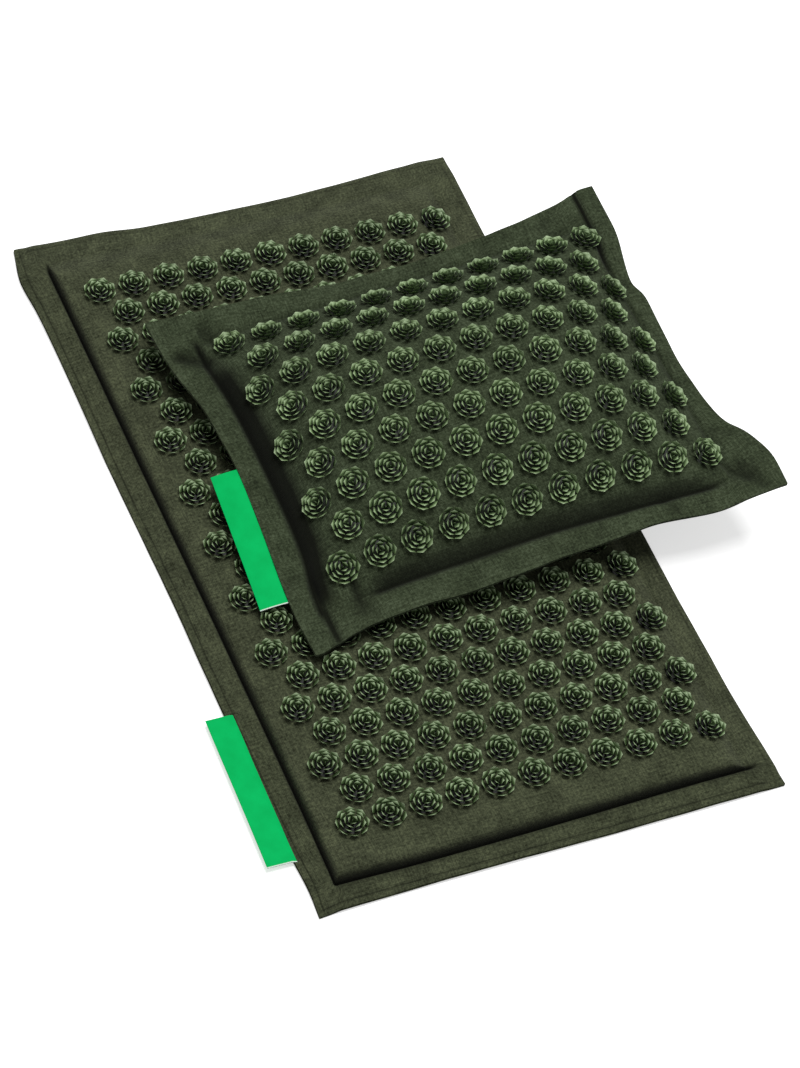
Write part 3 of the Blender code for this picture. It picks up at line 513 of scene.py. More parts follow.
# Places along an edge and how far out it lies there
MAT_EDGES = metres({
    "left": ((-365, -207.5), (-332, -206.2), (-290, -208.5), (-110, -209), (-40, -208.2), (115, -210),
             (220, -209), (294, -210), (330, -212.2), (365, -205.5)),
    "right": ((-365, 215), (-326, 213), (-260, 209.5), (-80, 209.5), (150, 212), (365, 217)),
    "near": ((-212, -361), (-190, -359.8), (-119, -358.8), (-50, -359.2), (100, -360.2), (215, -360)),
    "far": ((-206, 367.5), (-165, 364.5), (-125, 364), (-88, 360), (30, 359), (110, 362), (151, 365),
            (217, 369.5)),
})
MAT_SEAMS = metres({
    "left": ((-339, -185), (-262, -183.8), (-98, -183.6), (-13, -183.8), (120, -184.4), (235, -184.6),
             (339, -185.2)),
    "right": ((-339, 187), (339, 187)),
    "near": ((-187, -338), (-119, -340), (5, -339.6), (135, -338), (202, -338.5)),
    "far": ((-187, 339), (187, 339)),
})
# Both ends of a crease, its width and its depth
MAT_CREASES = metres((
    (-188.5, -333, -178, -341, 2.2, 1.4), (-196, -334, -208, -352, 2.2, 1.3),
    (-186, -342, -192, -360, 2, 1.2), (150, 330, 176, 322, 2.5, 1.2), (196.5, 300, 196, -150, 1.6, 0.6),
    (-199, 180, -198.5, 20, 1.6, 0.7), (-197.5, -60, -198.5, -300, 1.6, 0.7),
    (-130, 332, 160, 335, 3, 0.5), (-150, -349, 120, -350, 1.8, 0.5),
))
MAT_OUTLINE = (PAD_HALF_X, PAD_HALF_Y), MAT_BORDER, MAT_SEAMS, MAT_EDGES
print("mat's pad", [round(2 * half, 3) for half in MAT_OUTLINE[0]])


# %% Border of the mat
def mat_sides(x, y):
    """How far inside the pad's seam a place lies, from its left, right, near and far side."""
    return x + PAD_HALF_X, PAD_HALF_X - x, y + PAD_HALF_Y, PAD_HALF_Y - y


def mat_grooves(x, y):
    """How strongly the cloth is pulled into the left and the near seam, which end before the other edges."""
    left, right, near, far = mat_sides(x, y)
    return (
        smooth((far + 0.004) / 0.014) * smooth((near + 0.004) / 0.006),
        smooth((left + 0.004) / 0.006) * smooth((right + 0.015) / 0.010),
    )


def edge_ripple(x, y):
    """A gentle wave of the border, with little of it where the label is sewn in."""
    beyond = max(abs(x) - PAD_HALF_X, abs(y) - PAD_HALF_Y, 0) / MAT_BORDER
    quiet = 0.2 if x < 0 and -0.330 < y < -0.135 else 1.0
    return quiet * beyond * (0.0013 * waves(x, y, 11, 3.1) + 0.0007 * waves(x, y, 34, 0.7))


def mat_border(x, y):
    """Height of the border's upper face, which falls from the seam to the hem and dips into the grooves."""
    left, right, near, far = mat_sides(x, y)
    left_pull, near_pull = mat_grooves(x, y)
    height = BORDER_HEIGHT
    flat = MAT_BORDER - HEM_WIDTH
    falls = (left, 0.0038, left_pull), (near, 0.0030, near_pull), (right, 0.0022, 0), (far, 0.0018, 0)
    for inside, fall, pull in falls:
        height -= fall * smooth(max(-inside - LEVEL_BORDER, 0) / (flat - LEVEL_BORDER))
        hem = max(-inside - flat, 0) / HEM_WIDTH
        height -= HEM_ROLL * hem * hem
        height -= pull * GROOVE_DEPTH * bell(inside, GROOVE_HALF_WIDTH)
    return max(height + edge_ripple(x, y), BORDER_LEAST)


print("border's height near the left hem", round(mat_border(-0.200, 0), 4))


# %% Top of the mat
def round_rise(share):
    """The rise of a quarter circle."""
    return math.sqrt(1 - (1 - clamp(share)) ** 2)


def mat_top(x, y, top):
    left, right, near, far = mat_sides(x, y)
    left_pull, near_pull = mat_grooves(x, y)
    rises = []
    insides, pulls = (left, near, right, far), (left_pull, near_pull, 0, 0)
    for inside, pull, run in zip(insides, pulls, GENTLE_RUNS):
        deep = BORDER_HEIGHT - pull * GROOVE_DEPTH
        steep = deep + (top - deep) * round_rise(inside / PAD_SIDE_RUN)
        gentle = BORDER_HEIGHT + (top - BORDER_HEIGHT) * smooth((inside + 0.001) / run)
        rises.append(steep * pull + gentle * (1 - pull))
    inside = min(left, right, near, far)
    height = soft_least(rises, 0.0012) if inside > 0 else mat_border(x, y)
    unevenness = 0.00035 * waves(x, y, 26, 5) + 0.00020 * waves(x, y, 75, 9)
    height += unevenness * (0.5 + 0.5 * smooth(inside / 0.02)) - crease_depth(x, y, MAT_CREASES)
    at_x, at_y = outline(x, y, *MAT_OUTLINE)
    at_x -= left_pull * SIDE_BULGE * math.sin(math.pi * clamp(left / SIDE_BULGE_RUN))
    at_y -= near_pull * SIDE_BULGE * math.sin(math.pi * clamp(near / SIDE_BULGE_RUN))
    return Vector((at_x, at_y, min(height, PAD_TOP)))


print("top's height in the middle", round(mat_top(0, 0, PAD_TOP).z, 4))

# %% Underside of the mat
ZIP_ROOF = 0.00265
MAT_ZIP_Y = 0.295
MAT_SLOT_X = 0.1528
SLOT_HALF_WIDTH = 0.0040
TROUGH_HALF = (0.165, 0.0149)
TROUGH_SLOPE = 0.006
UNDERSIDE_RUN = 0.008


def mat_underside(x, y):
    inside = min(mat_sides(x, y))
    if inside < 0:
        height = mat_border(x, y) - BORDER_THICKNESS
    else:
        seam_x = math.copysign(PAD_HALF_X, x) if PAD_HALF_X - abs(x) == inside else x
        seam_y = math.copysign(PAD_HALF_Y, y) if PAD_HALF_Y - abs(y) == inside else y
        seam = mat_border(seam_x, seam_y) - BORDER_THICKNESS
        height = seam * (1 - round_rise(inside / UNDERSIDE_RUN))
    trough = max(abs(x) - TROUGH_HALF[0], abs(y - MAT_ZIP_Y) - TROUGH_HALF[1])
    roof = ZIP_ROOF * (1 - clamp(trough / TROUGH_SLOPE))
    return Vector((*outline(x, y, *MAT_OUTLINE), max(height, roof, 0.0)))


# The left half of the grid is drawn in, so its line for the slot's end lies a little farther out
MAT_SLOT_LEFT = MAT_SLOT_X * PAD_HALF_X / along_edge(MAT_SEAMS["left"], MAT_ZIP_Y)
MAT_SLOT_Y = (MAT_ZIP_Y - SLOT_HALF_WIDTH, MAT_ZIP_Y + SLOT_HALF_WIDTH)
MAT_LINES_X = grid_lines(MAT_HALF_X, MAT_BORDER, 0.0085, (MAT_SLOT_LEFT, MAT_SLOT_X))
MAT_LINES_Y = grid_lines(MAT_HALF_Y, MAT_BORDER, 0.0085, MAT_SLOT_Y)
print("mat grid", len(MAT_LINES_X), "by", len(MAT_LINES_Y))

# %% [markdown]
# ## Letting the cloth settle
# Cloth looks sewn when the filling has pushed it out and its seams have held it back. So the upper and lower
# grids are joined into one closed bag, the border and the seams are pinned, and a short cloth simulation with
# inner pressure and no gravity swells it. A point may move only a few millimetres and may not sink, and each
# move is averaged with its neighbours', so that the cloth never dips into the filling.

# %% Cloth simulation
SETTLING_FRAMES = 20
CLOTH_SETTINGS = dict(
    quality=5, mass=0.25, tension_stiffness=12, compression_stiffness=12, shear_stiffness=4,
    bending_stiffness=0.4, vertex_group_mass="sewn", use_pressure=True,
)


def settled(upper, lower, lines_x, lines_y, pinned_at, cap, pressure, growth):
    """Moves the upper grid's points to where a short simulation puts them. Both grids share their rims."""
    count = len(upper.data.vertices)
    width, height = len(lines_x), len(lines_y)
    ends = {0, width - 1}, {0, height - 1}
    rim = {index for index in range(count) if index % width in ends[0] or index // width in ends[1]}
    points = [vert.co.copy() for made in (upper, lower) for vert in made.data.vertices]
    faces = [tuple(face.vertices) for face in upper.data.polygons]
    for face in lower.data.polygons:
        faces.append(tuple(index if index in rim else index + count for index in face.vertices))
    mesh = bpy.data.meshes.new("bag")
    mesh.from_pydata(points, [], faces)
    bag = new_object("bag", mesh)
    group = bag.vertex_groups.new(name="sewn")
    for index in range(len(points)):
        number = index % count
        weight = pinned_at(lines_x[number % width], lines_y[number // width], index >= count)
        if weight > 0:
            group.add([index], weight, "REPLACE")
    cloth = bag.modifiers.new("cloth", "CLOTH")
    settings = dict(CLOTH_SETTINGS, shrink_min=-growth, uniform_pressure_force=pressure)
    for name, value in settings.items():
        setattr(cloth.settings, name, value)
    cloth.settings.effector_weights.gravity = 0
    cloth.point_cache.frame_start = 1
    cloth.point_cache.frame_end = SETTLING_FRAMES
    for step in range(1, SETTLING_FRAMES + 1):
        bpy.context.scene.frame_set(step)
    shape = bag.evaluated_get(bpy.context.evaluated_depsgraph_get()).to_mesh()
    moves = []
    for old, vert in zip(points[:count], shape.vertices):
        move = vert.co - old
        move.z = max(move.z, 0)
        moves.append(move * (cap / max(move.length, cap)))
    beside = -1, 1, -width, width
    for _ in range(3):
        before = moves
        moves = [
            move if index in rim else move / 2 + sum((before[index + step] for step in beside), Vector()) / 8
            for index, move in enumerate(before)
        ]
    for vert, move in zip(upper.data.vertices, moves):
        vert.co += move
    bpy.context.scene.frame_set(1)
    bpy.data.objects.remove(bag)
    bpy.data.meshes.remove(mesh)
    print("settled", upper.name, "and", lower.name)


print("the simulation runs for", SETTLING_FRAMES, "frames")


# %% Panels of the mat
def mat_pins(x, y, below):
    """The underside lies on the floor and the border is sewn, so only the top of the pad may move."""
    return 1.0 if below or min(mat_sides(x, y)) < 0.0025 else 0.0


mat_grid = MAT_LINES_X, MAT_LINES_Y
mat_top_cloth = cloth_grid("mat_top_cloth", *mat_grid, lambda x, y: mat_top(x, y, PAD_TOP - 0.0016))
mat_bottom_cloth = cloth_grid("mat_bottom_cloth", *mat_grid, mat_underside, facing_down=True)
settled(mat_top_cloth, mat_bottom_cloth, *mat_grid, mat_pins, cap=0.0018, pressure=1.2, growth=0.004)
for vert in mat_top_cloth.data.vertices:
    vert.co.z = min(vert.co.z, PAD_TOP)
print("mat's top lies at", round(max(vert.co.z for vert in mat_top_cloth.data.vertices), 4))

# %% [markdown]
# ## The pillow's shape
# The pillow is worked in a frame of its own, whose origin is the middle of its pad at the border's height,
# and is moved to where it lies at the end. Its crown is full in the middle and drops steeply at the sides.
# The corners stand out as ears, because the filling draws the middle of each side in.

# %% Sizes of the pillow
PILLOW_FRAME = Matrix.LocRotScale(
    Vector((0.0883, 0.0435, 0.0617)), Euler([math.radians(turn) for turn in (3.31, -4.87, 1.14)], "XYZ"), None
)
PILLOW_PAD_X = 0.184
PILLOW_PAD_Y = 0.143
PILLOW_BORDER = 0.020
EAR_STRETCH = 1.11
CROWN = 0.045
BELLY = 0.044
BELLY_FLAT = (0.105, 0.050)
REST_HEIGHT = 0.0299
PILLOW_EDGES = metres({
    "left": ((-181, -218.5), (-158, -220), (-124, -219), (-56, -213.6), (12, -209.6), (46, -211),
             (90, -213.4), (136, -222.5), (181, -227)),
    "right": ((-181, 227), (-141, 228.5), (-112, 218), (-100, 207.7), (-79, 201.7), (-51, 198), (12, 197.5),
              (66, 199.5), (82, 194.2), (137, 203.7), (183, 206.7)),
    "near": ((-219, -181), (-180, -171.5), (-132, -167.4), (-65, -169), (1, -166.5), (60, -164), (115, -162),
             (150, -166.9), (186, -169.7), (228, -168.5)),
    "far": ((-226, 179), (-178, 173), (-132, 170), (-87, 165.2), (-40, 162.2), (27, 160.4), (90, 164.6),
            (132, 168.5), (187, 177.4), (207, 183.5)),
})
PILLOW_SEAMS = metres({
    "left": ((-150, -197.5), (-131, -195.5), (-95, -189.5), (-40, -186.8), (65, -186.8), (131, -191.5),
             (170, -194)),
    "right": ((-150, 187), (-80, 183.5), (40, 181.5), (105, 181.2), (149, 185.4), (181, 187.2)),
    "near": ((-200, -146), (-150, -140.5), (-100, -138.5), (16, -137.2), (60, -138.5), (174, -144),
             (200, -145)),
    "far": ((-200, 143), (200, 143)),
})
PILLOW_CREASES = metres((
    (-183.8, -110, -180.8, -167, 2.7, 6.6), (-150, -118, -154.5, -157, 3.4, 4.8),
    (-143.6, -138, -143.6, -163, 3.2, 2.2), (-186, -100, -203, -110, 4, 1.8),
    (-60, -144, -52, -161, 3.6, 1.4), (-176, 116, -200, 140, 5.5, 4.6), (-166, 130, -176, 156, 5, 3.4),
    (181, -120, 191, -150, 3, 3.4), (190, -124, 195, -162, 2.8, 2.8), (172, -128, 176, -148, 3, 1.8),
    (118, -138, 127, -158, 3.4, 2.6), (186, -88, 202, -100, 3.6, 1.8), (50, -144, 56, -160, 4, 1.4),
    (80, 146, 86, 160, 5, 1.8), (140, 148, 150, 160, 5, 2),
))
PILLOW_OUTLINE = (PILLOW_PAD_X, PILLOW_PAD_Y), PILLOW_BORDER, PILLOW_SEAMS, PILLOW_EDGES, EAR_STRETCH
# Half the pad's size, the power of the curve and its fullness
BULGE_X = (PILLOW_PAD_X, 3.2, 0.9)
BULGE_Y = (PILLOW_PAD_Y, 2.7, 1.07)
print("pillow's pad", [round(2 * half, 3) for half in PILLOW_OUTLINE[0]])


# %% Crown, belly and border of the pillow
def bulge(reach, half, power, fullness):
    return (1 - min(abs(reach) / half, 1) ** power) ** fullness


def crown_height(x, y):
    return CROWN * bulge(x, *BULGE_X) * bulge(y, *BULGE_Y)


def belly_height(x, y):
    across = min(bulge(x, *BULGE_X) / bulge(BELLY_FLAT[0], *BULGE_X), 1)
    along = min(bulge(y, *BULGE_Y) / bulge(BELLY_FLAT[1], *BULGE_Y), 1)
    return -BORDER_THICKNESS - BELLY * across * along


def border_wave(x, y):
    """Waves of the flat border, and the near right ear, which curls up."""
    beyond = max((abs(x) - PILLOW_PAD_X) / PILLOW_BORDER, (abs(y) - PILLOW_PAD_Y) / PILLOW_BORDER, 0)
    quiet = 0.15 if x < 0 and -0.140 < y < 0.030 else 1.0
    wave = quiet * beyond * (0.0030 * waves(x, y, 13, 1.3) + 0.0018 * waves(x, y, 34, 6.1))
    return wave + 0.0060 * smooth((x - 0.160) / 0.044) * smooth((-y - 0.115) / 0.048)


def pillow_rest(point, clearance):
    """No point lower than the mat's spikes, on which the pillow lies."""
    world = PILLOW_FRAME @ point
    world.z = max(world.z, REST_HEIGHT + clearance)
    return PILLOW_FRAME.inverted() @ world


def pillow_groove(x, y):
    """Depth of the seam's groove: strong at the left and near side, and out through the far right corner."""
    right_depth = 0.0016 + 0.0036 * smooth((y - 0.075) / 0.040)
    near_depth = 0.0046 * smooth((x + 0.150) / 0.018) * smooth((0.182 - x) / 0.020)
    sides = (
        # distance from the seam, place along it, half its length, depth, and its run past the corner
        (x + PILLOW_PAD_X, y, PILLOW_PAD_Y, 0.0048, 0.006),
        (PILLOW_PAD_X - x, y, PILLOW_PAD_Y, right_depth, 0.026 if y > 0 else 0.006),
        (y + PILLOW_PAD_Y, x, PILLOW_PAD_X, near_depth, 0.006),
        (PILLOW_PAD_Y - y, x, PILLOW_PAD_X, 0.0014, 0.006),
    )
    return max(
        smooth((half + past - abs(along)) / 0.008) * depth * bell(gap, 0.0027)
        for gap, along, half, depth, past in sides
    )


print("crown", round(crown_height(0, 0), 4), "and belly", round(belly_height(0, 0), 4))


# %% Top and underside of the pillow
def pillow_top(x, y, fullness):
    height = fullness * crown_height(x, y) - pillow_groove(x, y) + border_wave(x, y)
    height += 0.0005 * waves(x, y, 30, 2) - crease_depth(x, y, PILLOW_CREASES)
    return pillow_rest(Vector((*outline(x, y, *PILLOW_OUTLINE), height)), BORDER_THICKNESS)


ZIP_ROWS = [PILLOW_PAD_Y * share for share in (0.72, 0.95)]


def pillow_underside(x, y):
    at_x, at_y = outline(x, y, *PILLOW_OUTLINE)
    height = belly_height(x, y)
    if ZIP_ROWS[0] < at_y < ZIP_ROWS[1]:
        share = (at_y - ZIP_ROWS[0]) / (ZIP_ROWS[1] - ZIP_ROWS[0])
        low, high = (belly_height(at_x, place) for place in ZIP_ROWS)
        flat = smooth((0.120 - abs(x)) / 0.030)
        height = height * (1 - flat) + (low * (1 - share) + high * share) * flat
    near_border = smooth(min(max(abs(x) - PILLOW_PAD_X, abs(y) - PILLOW_PAD_Y) / 0.006 + 1, 1))
    height += (border_wave(x, y) - crease_depth(x, y, PILLOW_CREASES)) * near_border
    if at_y < ZIP_ROWS[1]:
        height -= pillow_groove(x, y)
    return pillow_rest(Vector((at_x, at_y, height)), 0)


print("pillow's zip lies between", [round(row, 3) for row in ZIP_ROWS])


# %% Panels of the pillow
def pillow_zip_frame():
    """On the far flank of the underside, X along the zip and Z out of the case."""
    low, high = (Vector((0, place, belly_height(0, place))) for place in ZIP_ROWS)
    across = Vector((1, 0, 0))
    outward = across.cross((high - low).normalized()).normalized()
    if outward.z > 0:
        outward = -outward
    turn = Matrix((across, outward.cross(across), outward)).transposed().to_4x4()
    return PILLOW_FRAME @ Matrix.Translation(low.lerp(high, 0.5)) @ turn


zip_slope = (belly_height(0, ZIP_ROWS[1]) - belly_height(0, ZIP_ROWS[0])) / (ZIP_ROWS[1] - ZIP_ROWS[0])
zip_middle_y = sum(ZIP_ROWS) / 2
slot_reach = SLOT_HALF_WIDTH / math.hypot(1, zip_slope)
PILLOW_SLOT_X = 0.0728
PILLOW_SLOT_Y = (zip_middle_y - slot_reach, zip_middle_y + slot_reach)
pillow_grid = (
    grid_lines(PILLOW_PAD_X + PILLOW_BORDER, PILLOW_BORDER, 0.0065, (-PILLOW_SLOT_X, PILLOW_SLOT_X)),
    grid_lines(PILLOW_PAD_Y + PILLOW_BORDER, PILLOW_BORDER, 0.0065, PILLOW_SLOT_Y),
)


def pillow_pins(x, y, below):
    return 1.0 if below or min(PILLOW_PAD_X - abs(x), PILLOW_PAD_Y - abs(y)) < 0.0030 else 0.0


pillow_top_cloth = cloth_grid("pillow_top_cloth", *pillow_grid, lambda x, y: pillow_top(x, y, 0.95))
pillow_bottom_cloth = cloth_grid("pillow_bottom_cloth", *pillow_grid, pillow_underside, facing_down=True)
settled(
    pillow_top_cloth, pillow_bottom_cloth, *pillow_grid, pillow_pins, cap=0.0025, pressure=4.0, growth=0.006
)
print("pillow grid", len(pillow_grid[0]), "by", len(pillow_grid[1]))

# %% [markdown]
# ## Finishing the four panels
# Each panel gets its seam lines and its painted shade, the slot for its zip, one level of subdivision to
# round the facets, and the thickness of the cloth on its inner side. Only then is the pillow put where it
# lies. Each panel also says which body it moves with and which CAD node it stands for.


# %% Finishing helpers
def give(made, finish):
    made.data.materials.clear()
    made.data.materials.append(finish)


def select_only(made):
    bpy.ops.object.select_all(action="DESELECT")
    made.select_set(True)
    bpy.context.view_layer.objects.active = made


def use_modifier(made, kind, **settings):
    select_only(made)
    modifier = made.modifiers.new(kind, kind)
    for name, value in settings.items():
        setattr(modifier, name, value)
    bpy.ops.object.modifier_apply(modifier=modifier.name)


def dress(piece, body, node, slot, fill=None):
    """What the piece moves with and which CAD node it stands for. The slot, its finish, and fill are not
    used.
    """
    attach(piece, body)
    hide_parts(node)


def cut_slot(made, low, high):
    """Takes out the faces whose middles lie in a rectangle: the opening behind which the zip is sewn."""
    shape = bmesh.new()
    shape.from_mesh(made.data)
    inside = [
        face
        for face in shape.faces
        if all(low[axis] < face.calc_center_median()[axis] < high[axis] for axis in (0, 1))
    ]
    bmesh.ops.delete(shape, geom=inside, context="FACES")
    shape.to_mesh(made.data)
    shape.free()
    print(made.name, "opened by", len(inside), "faces")


print("cloth is", CLOTH * 1000, "mm thick")


# %% Seam lines and painted shade
def mat_stitches_and_painted_shade(x, y):
    """Dark stitches along the hem, and painted shade in the groove along the left and the near side."""
    left, right, near, far = mat_sides(x, y)
    left_pull, near_pull = mat_grooves(x, y)
    in_x, in_y = MAT_HALF_X - abs(x), MAT_HALF_Y - abs(y)
    line = min(abs(in_x - HEM_WIDTH), abs(in_y - HEM_WIDTH))
    strength = 0.35 if min(right, far) < -HEM_WIDTH else 0.70
    stitches = strength * bell(line, 0.0008) if min(in_x, in_y) > 0.004 else 0.0
    # Painted shade in the left and the near groove
    return max(stitches, 0.96 * max(left_pull * bell(left, 0.0019), near_pull * bell(near, 0.0034)))


def pillow_painted_shade(x, y):
    """Painted shade in the groove, on the steep cloth rising from it at the left and near side, and in
    creases.
    """
    left, near = x + PILLOW_PAD_X, y + PILLOW_PAD_Y
    left_rise = smooth((left + 0.001) / 0.002) * (1 - smooth((left - 0.0090) / 0.0080))
    left_rise *= smooth((0.128 - y) / 0.03) * smooth((near + 0.004) / 0.02)
    near_rise = smooth((near + 0.001) / 0.002) * (1 - smooth((near - 0.006) / 0.010))
    near_rise *= smooth((x + 0.146) / 0.018) * smooth((0.172 - x) / 0.03)
    creases = min(crease_depth(x, y, PILLOW_CREASES) / 0.0056, 0.9)
    return max(min(pillow_groove(x, y) / 0.0048, 1), 0.95 * left_rise, 0.72 * near_rise, creases)


print("the mat's left groove is dark by", round(mat_stitches_and_painted_shade(-PAD_HALF_X, 0), 2))


# %% Finished panels
def finish_case(body, panels, grid, stitches_and_shade_at, slot_box, finish, place, slot, fill):
    """Finishes the upper and the lower panel of a case, and cuts the zip's slot into the lower one."""
    # Stitch lines and painted shade, point by point
    seams = [stitches_and_shade_at(x, y) for y in grid[1] for x in grid[0]]
    for panel, side in zip(panels, ("top", "bottom")):
        set_attribute(panel, "seam", seams)
        if side == "bottom":
            cut_slot(panel, *slot_box)
        give(panel, finish)
        use_modifier(panel, "SUBSURF", levels=1, render_levels=1)
        use_modifier(panel, "SOLIDIFY", thickness=CLOTH, offset=-1)
        if place:
            panel.data.transform(place)
        bpy.ops.object.shade_smooth_by_angle(angle=math.radians(50))
        dress(panel, body, f"{body}_{side}_panel", slot, fill)
        print(panel.name, "has", len(panel.data.polygons), "faces")


panels = mat_top_cloth, mat_bottom_cloth
slot_box = (MAT_SLOT_LEFT, MAT_SLOT_Y[0]), (MAT_SLOT_X, MAT_SLOT_Y[1])
finish_case("mat", panels, mat_grid, mat_stitches_and_painted_shade, slot_box, mat_linen, None, "olive_linen", 0.7)
panels = pillow_top_cloth, pillow_bottom_cloth
slot_box = (-PILLOW_SLOT_X - 0.001, PILLOW_SLOT_Y[0]), (PILLOW_SLOT_X + 0.001, PILLOW_SLOT_Y[1])
looks = pillow_linen, PILLOW_FRAME, "dark_olive_linen", 0.9
finish_case("pillow", panels, pillow_grid, pillow_painted_shade, slot_box, *looks)

# %% [markdown]
# ## One rosette
# A rosette is moulded in one piece: a low base, rings of eight, seven, five and three petals, each higher and
# narrower than the last, and a bud. A petal is thick at its foot, wide and thin at its shoulders, and ends in
# a point. A four-sided disc has just the corners for this: a foot, two shoulders and a point on each of its
# faces. Both faces meet at the rim, so a petal has only four faces, and all 316 rosettes are copies.

# %% Sizes of a rosette
BASE_RADIUS = 0.0124
BASE_HEIGHT = 0.0030
BASE_SUNK = 0.0008
PETAL_RINGS = (
    # count, first turn, then half width, radius and height of the foot, the shoulders and the point
    (8, 0, (0, 0.0103, 0.0002), (0.0049, 0.0126, 0.0038), (0, 0.0145, 0.0053)),
    (7, 22, (0, 0.0073, 0.0006), (0.0041, 0.0092, 0.0053), (0, 0.0111, 0.0066)),
    (5, 5, (0, 0.0043, 0.0008), (0.0038, 0.0058, 0.0063), (0, 0.0076, 0.0076)),
    (3, 40, (0, 0.0013, 0.0010), (0.0030, 0.0027, 0.0070), (0, 0.0043, 0.0083)),
)
FOOT_THICKNESS = 0.0016
BUD_RADIUS = 0.0015
BUD_HEIGHT = 0.0078
BUD_MIDDLE = 0.0046
print("petals in a rosette", sum(ring[0] for ring in PETAL_RINGS))


# %% Rosette
def add_petal(made, foot, shoulder, point):
    """A four-sided disc whose corners become the foot, the shoulders and the point of a petal."""
    bpy.ops.mesh.select_all(action="DESELECT")
    bpy.ops.mesh.primitive_cylinder_add(vertices=4, radius=1, depth=2)
    shape = bmesh.from_edit_mesh(made.data)
    rim = shape.verts.layers.float["rim"]
    for vert in [vert for vert in shape.verts if vert.select]:
        on_foot = vert.co.y < -0.5
        half_width, radius, height = foot if on_foot else shoulder if vert.co.y < 0.5 else point
        side = math.copysign(1, vert.co.x) if half_width else 0
        away = math.copysign(FOOT_THICKNESS / 2, vert.co.z) if on_foot else 0
        # Nearness to the rim, which the plastic paints from shade at the foot to highlight at the point
        vert[rim] = 0.0 if on_foot else 0.70 if half_width else 1.0
        vert.co = (side * half_width, radius + away, height)
    bmesh.update_edit_mesh(made.data)
    bpy.ops.mesh.remove_doubles(threshold=0.00001)


def build_rosette():
    bpy.ops.object.select_all(action="DESELECT")
    middle = (0, 0, BASE_HEIGHT / 2 - BASE_SUNK)
    bpy.ops.mesh.primitive_cone_add(
        vertices=8, radius1=BASE_RADIUS, radius2=0, depth=BASE_HEIGHT, location=middle
    )
    bpy.ops.object.transform_apply(location=True, rotation=False, scale=False)
    made = bpy.context.active_object
    made.data.attributes.new("rim", "FLOAT", "POINT")
    made.data.attributes.new("tone", "FLOAT", "POINT")
    bpy.ops.object.mode_set(mode="EDIT")
    for count, first, *corners in PETAL_RINGS:
        for step in range(count):
            add_petal(made, *corners)
            turn = math.radians(first + 360 * step / count)
            bpy.ops.transform.rotate(value=turn, orient_axis="Z", center_override=(0, 0, 0))
    bpy.ops.mesh.select_all(action="DESELECT")
    bpy.ops.mesh.primitive_cone_add(
        vertices=4, radius1=BUD_RADIUS, radius2=0, depth=BUD_HEIGHT, location=(0, 0, BUD_MIDDLE)
    )
    shape = bmesh.from_edit_mesh(made.data)
    rim = shape.verts.layers.float["rim"]
    # The bud's tip gets the full painted highlight
    max((vert for vert in shape.verts if vert.select), key=lambda vert: vert.co.z)[rim] = 1.0
    bmesh.update_edit_mesh(made.data)
    bpy.ops.mesh.select_all(action="SELECT")
    bpy.ops.mesh.normals_make_consistent(inside=False)
    bpy.ops.object.mode_set(mode="OBJECT")
    return made


rosette = build_rosette()
print("one rosette has", len(rosette.data.polygons), "faces")

# %% [markdown]
# ## Rows of rosettes
# Rows of eleven and ten stand by turns, half a step apart. On the pillow a step is a length of cloth, so over
# the crown the rosettes come closer together when seen from above. Each one stands square to the cloth under
# it, turned by a little chance, with its foot sunk into the weave.

# %% Rows
MAT_PITCH = 0.0325
MAT_ROW_PITCH = 0.02914
PILLOW_PITCH = 0.0342
PILLOW_ROW_PITCH = PILLOW_PITCH * 0.8977
NORMAL_REACH = 0.006


def plan_distance(along_cloth, height_at):
    """How far across the plan a length of cloth reaches over the crown."""
    steps = 60
    step = along_cloth / steps
    reached = 0.0
    for _ in range(steps):
        rise = height_at(reached + step / 2) - height_at(reached - step / 2)
        reached += step / math.hypot(1, rise / step) if step else 0
    return reached


def rosette_places(rows, pitch, row_pitch, middle, height_at):
    places = []
    for index in range(rows):
        along_cloth = ((rows - 1) / 2 - index) * row_pitch
        count = 11 - index % 2
        for step in range(count):
            across_cloth = (step - (count - 1) / 2) * pitch
            across = plan_distance(across_cloth, lambda reach: height_at(reach, along_cloth))
            along = plan_distance(along_cloth, lambda reach: height_at(across, reach))
            places.append(Vector((middle[0] + across, middle[1] + along)))
    return places


mat_places = rosette_places(21, MAT_PITCH, MAT_ROW_PITCH, (0.0065, -0.006), lambda x, y: PAD_TOP)
pillow_places = rosette_places(9, PILLOW_PITCH, PILLOW_ROW_PITCH, (0.003, 0.007), crown_height)
print(len(mat_places), "rosettes on the mat and", len(pillow_places), "on the pillow")


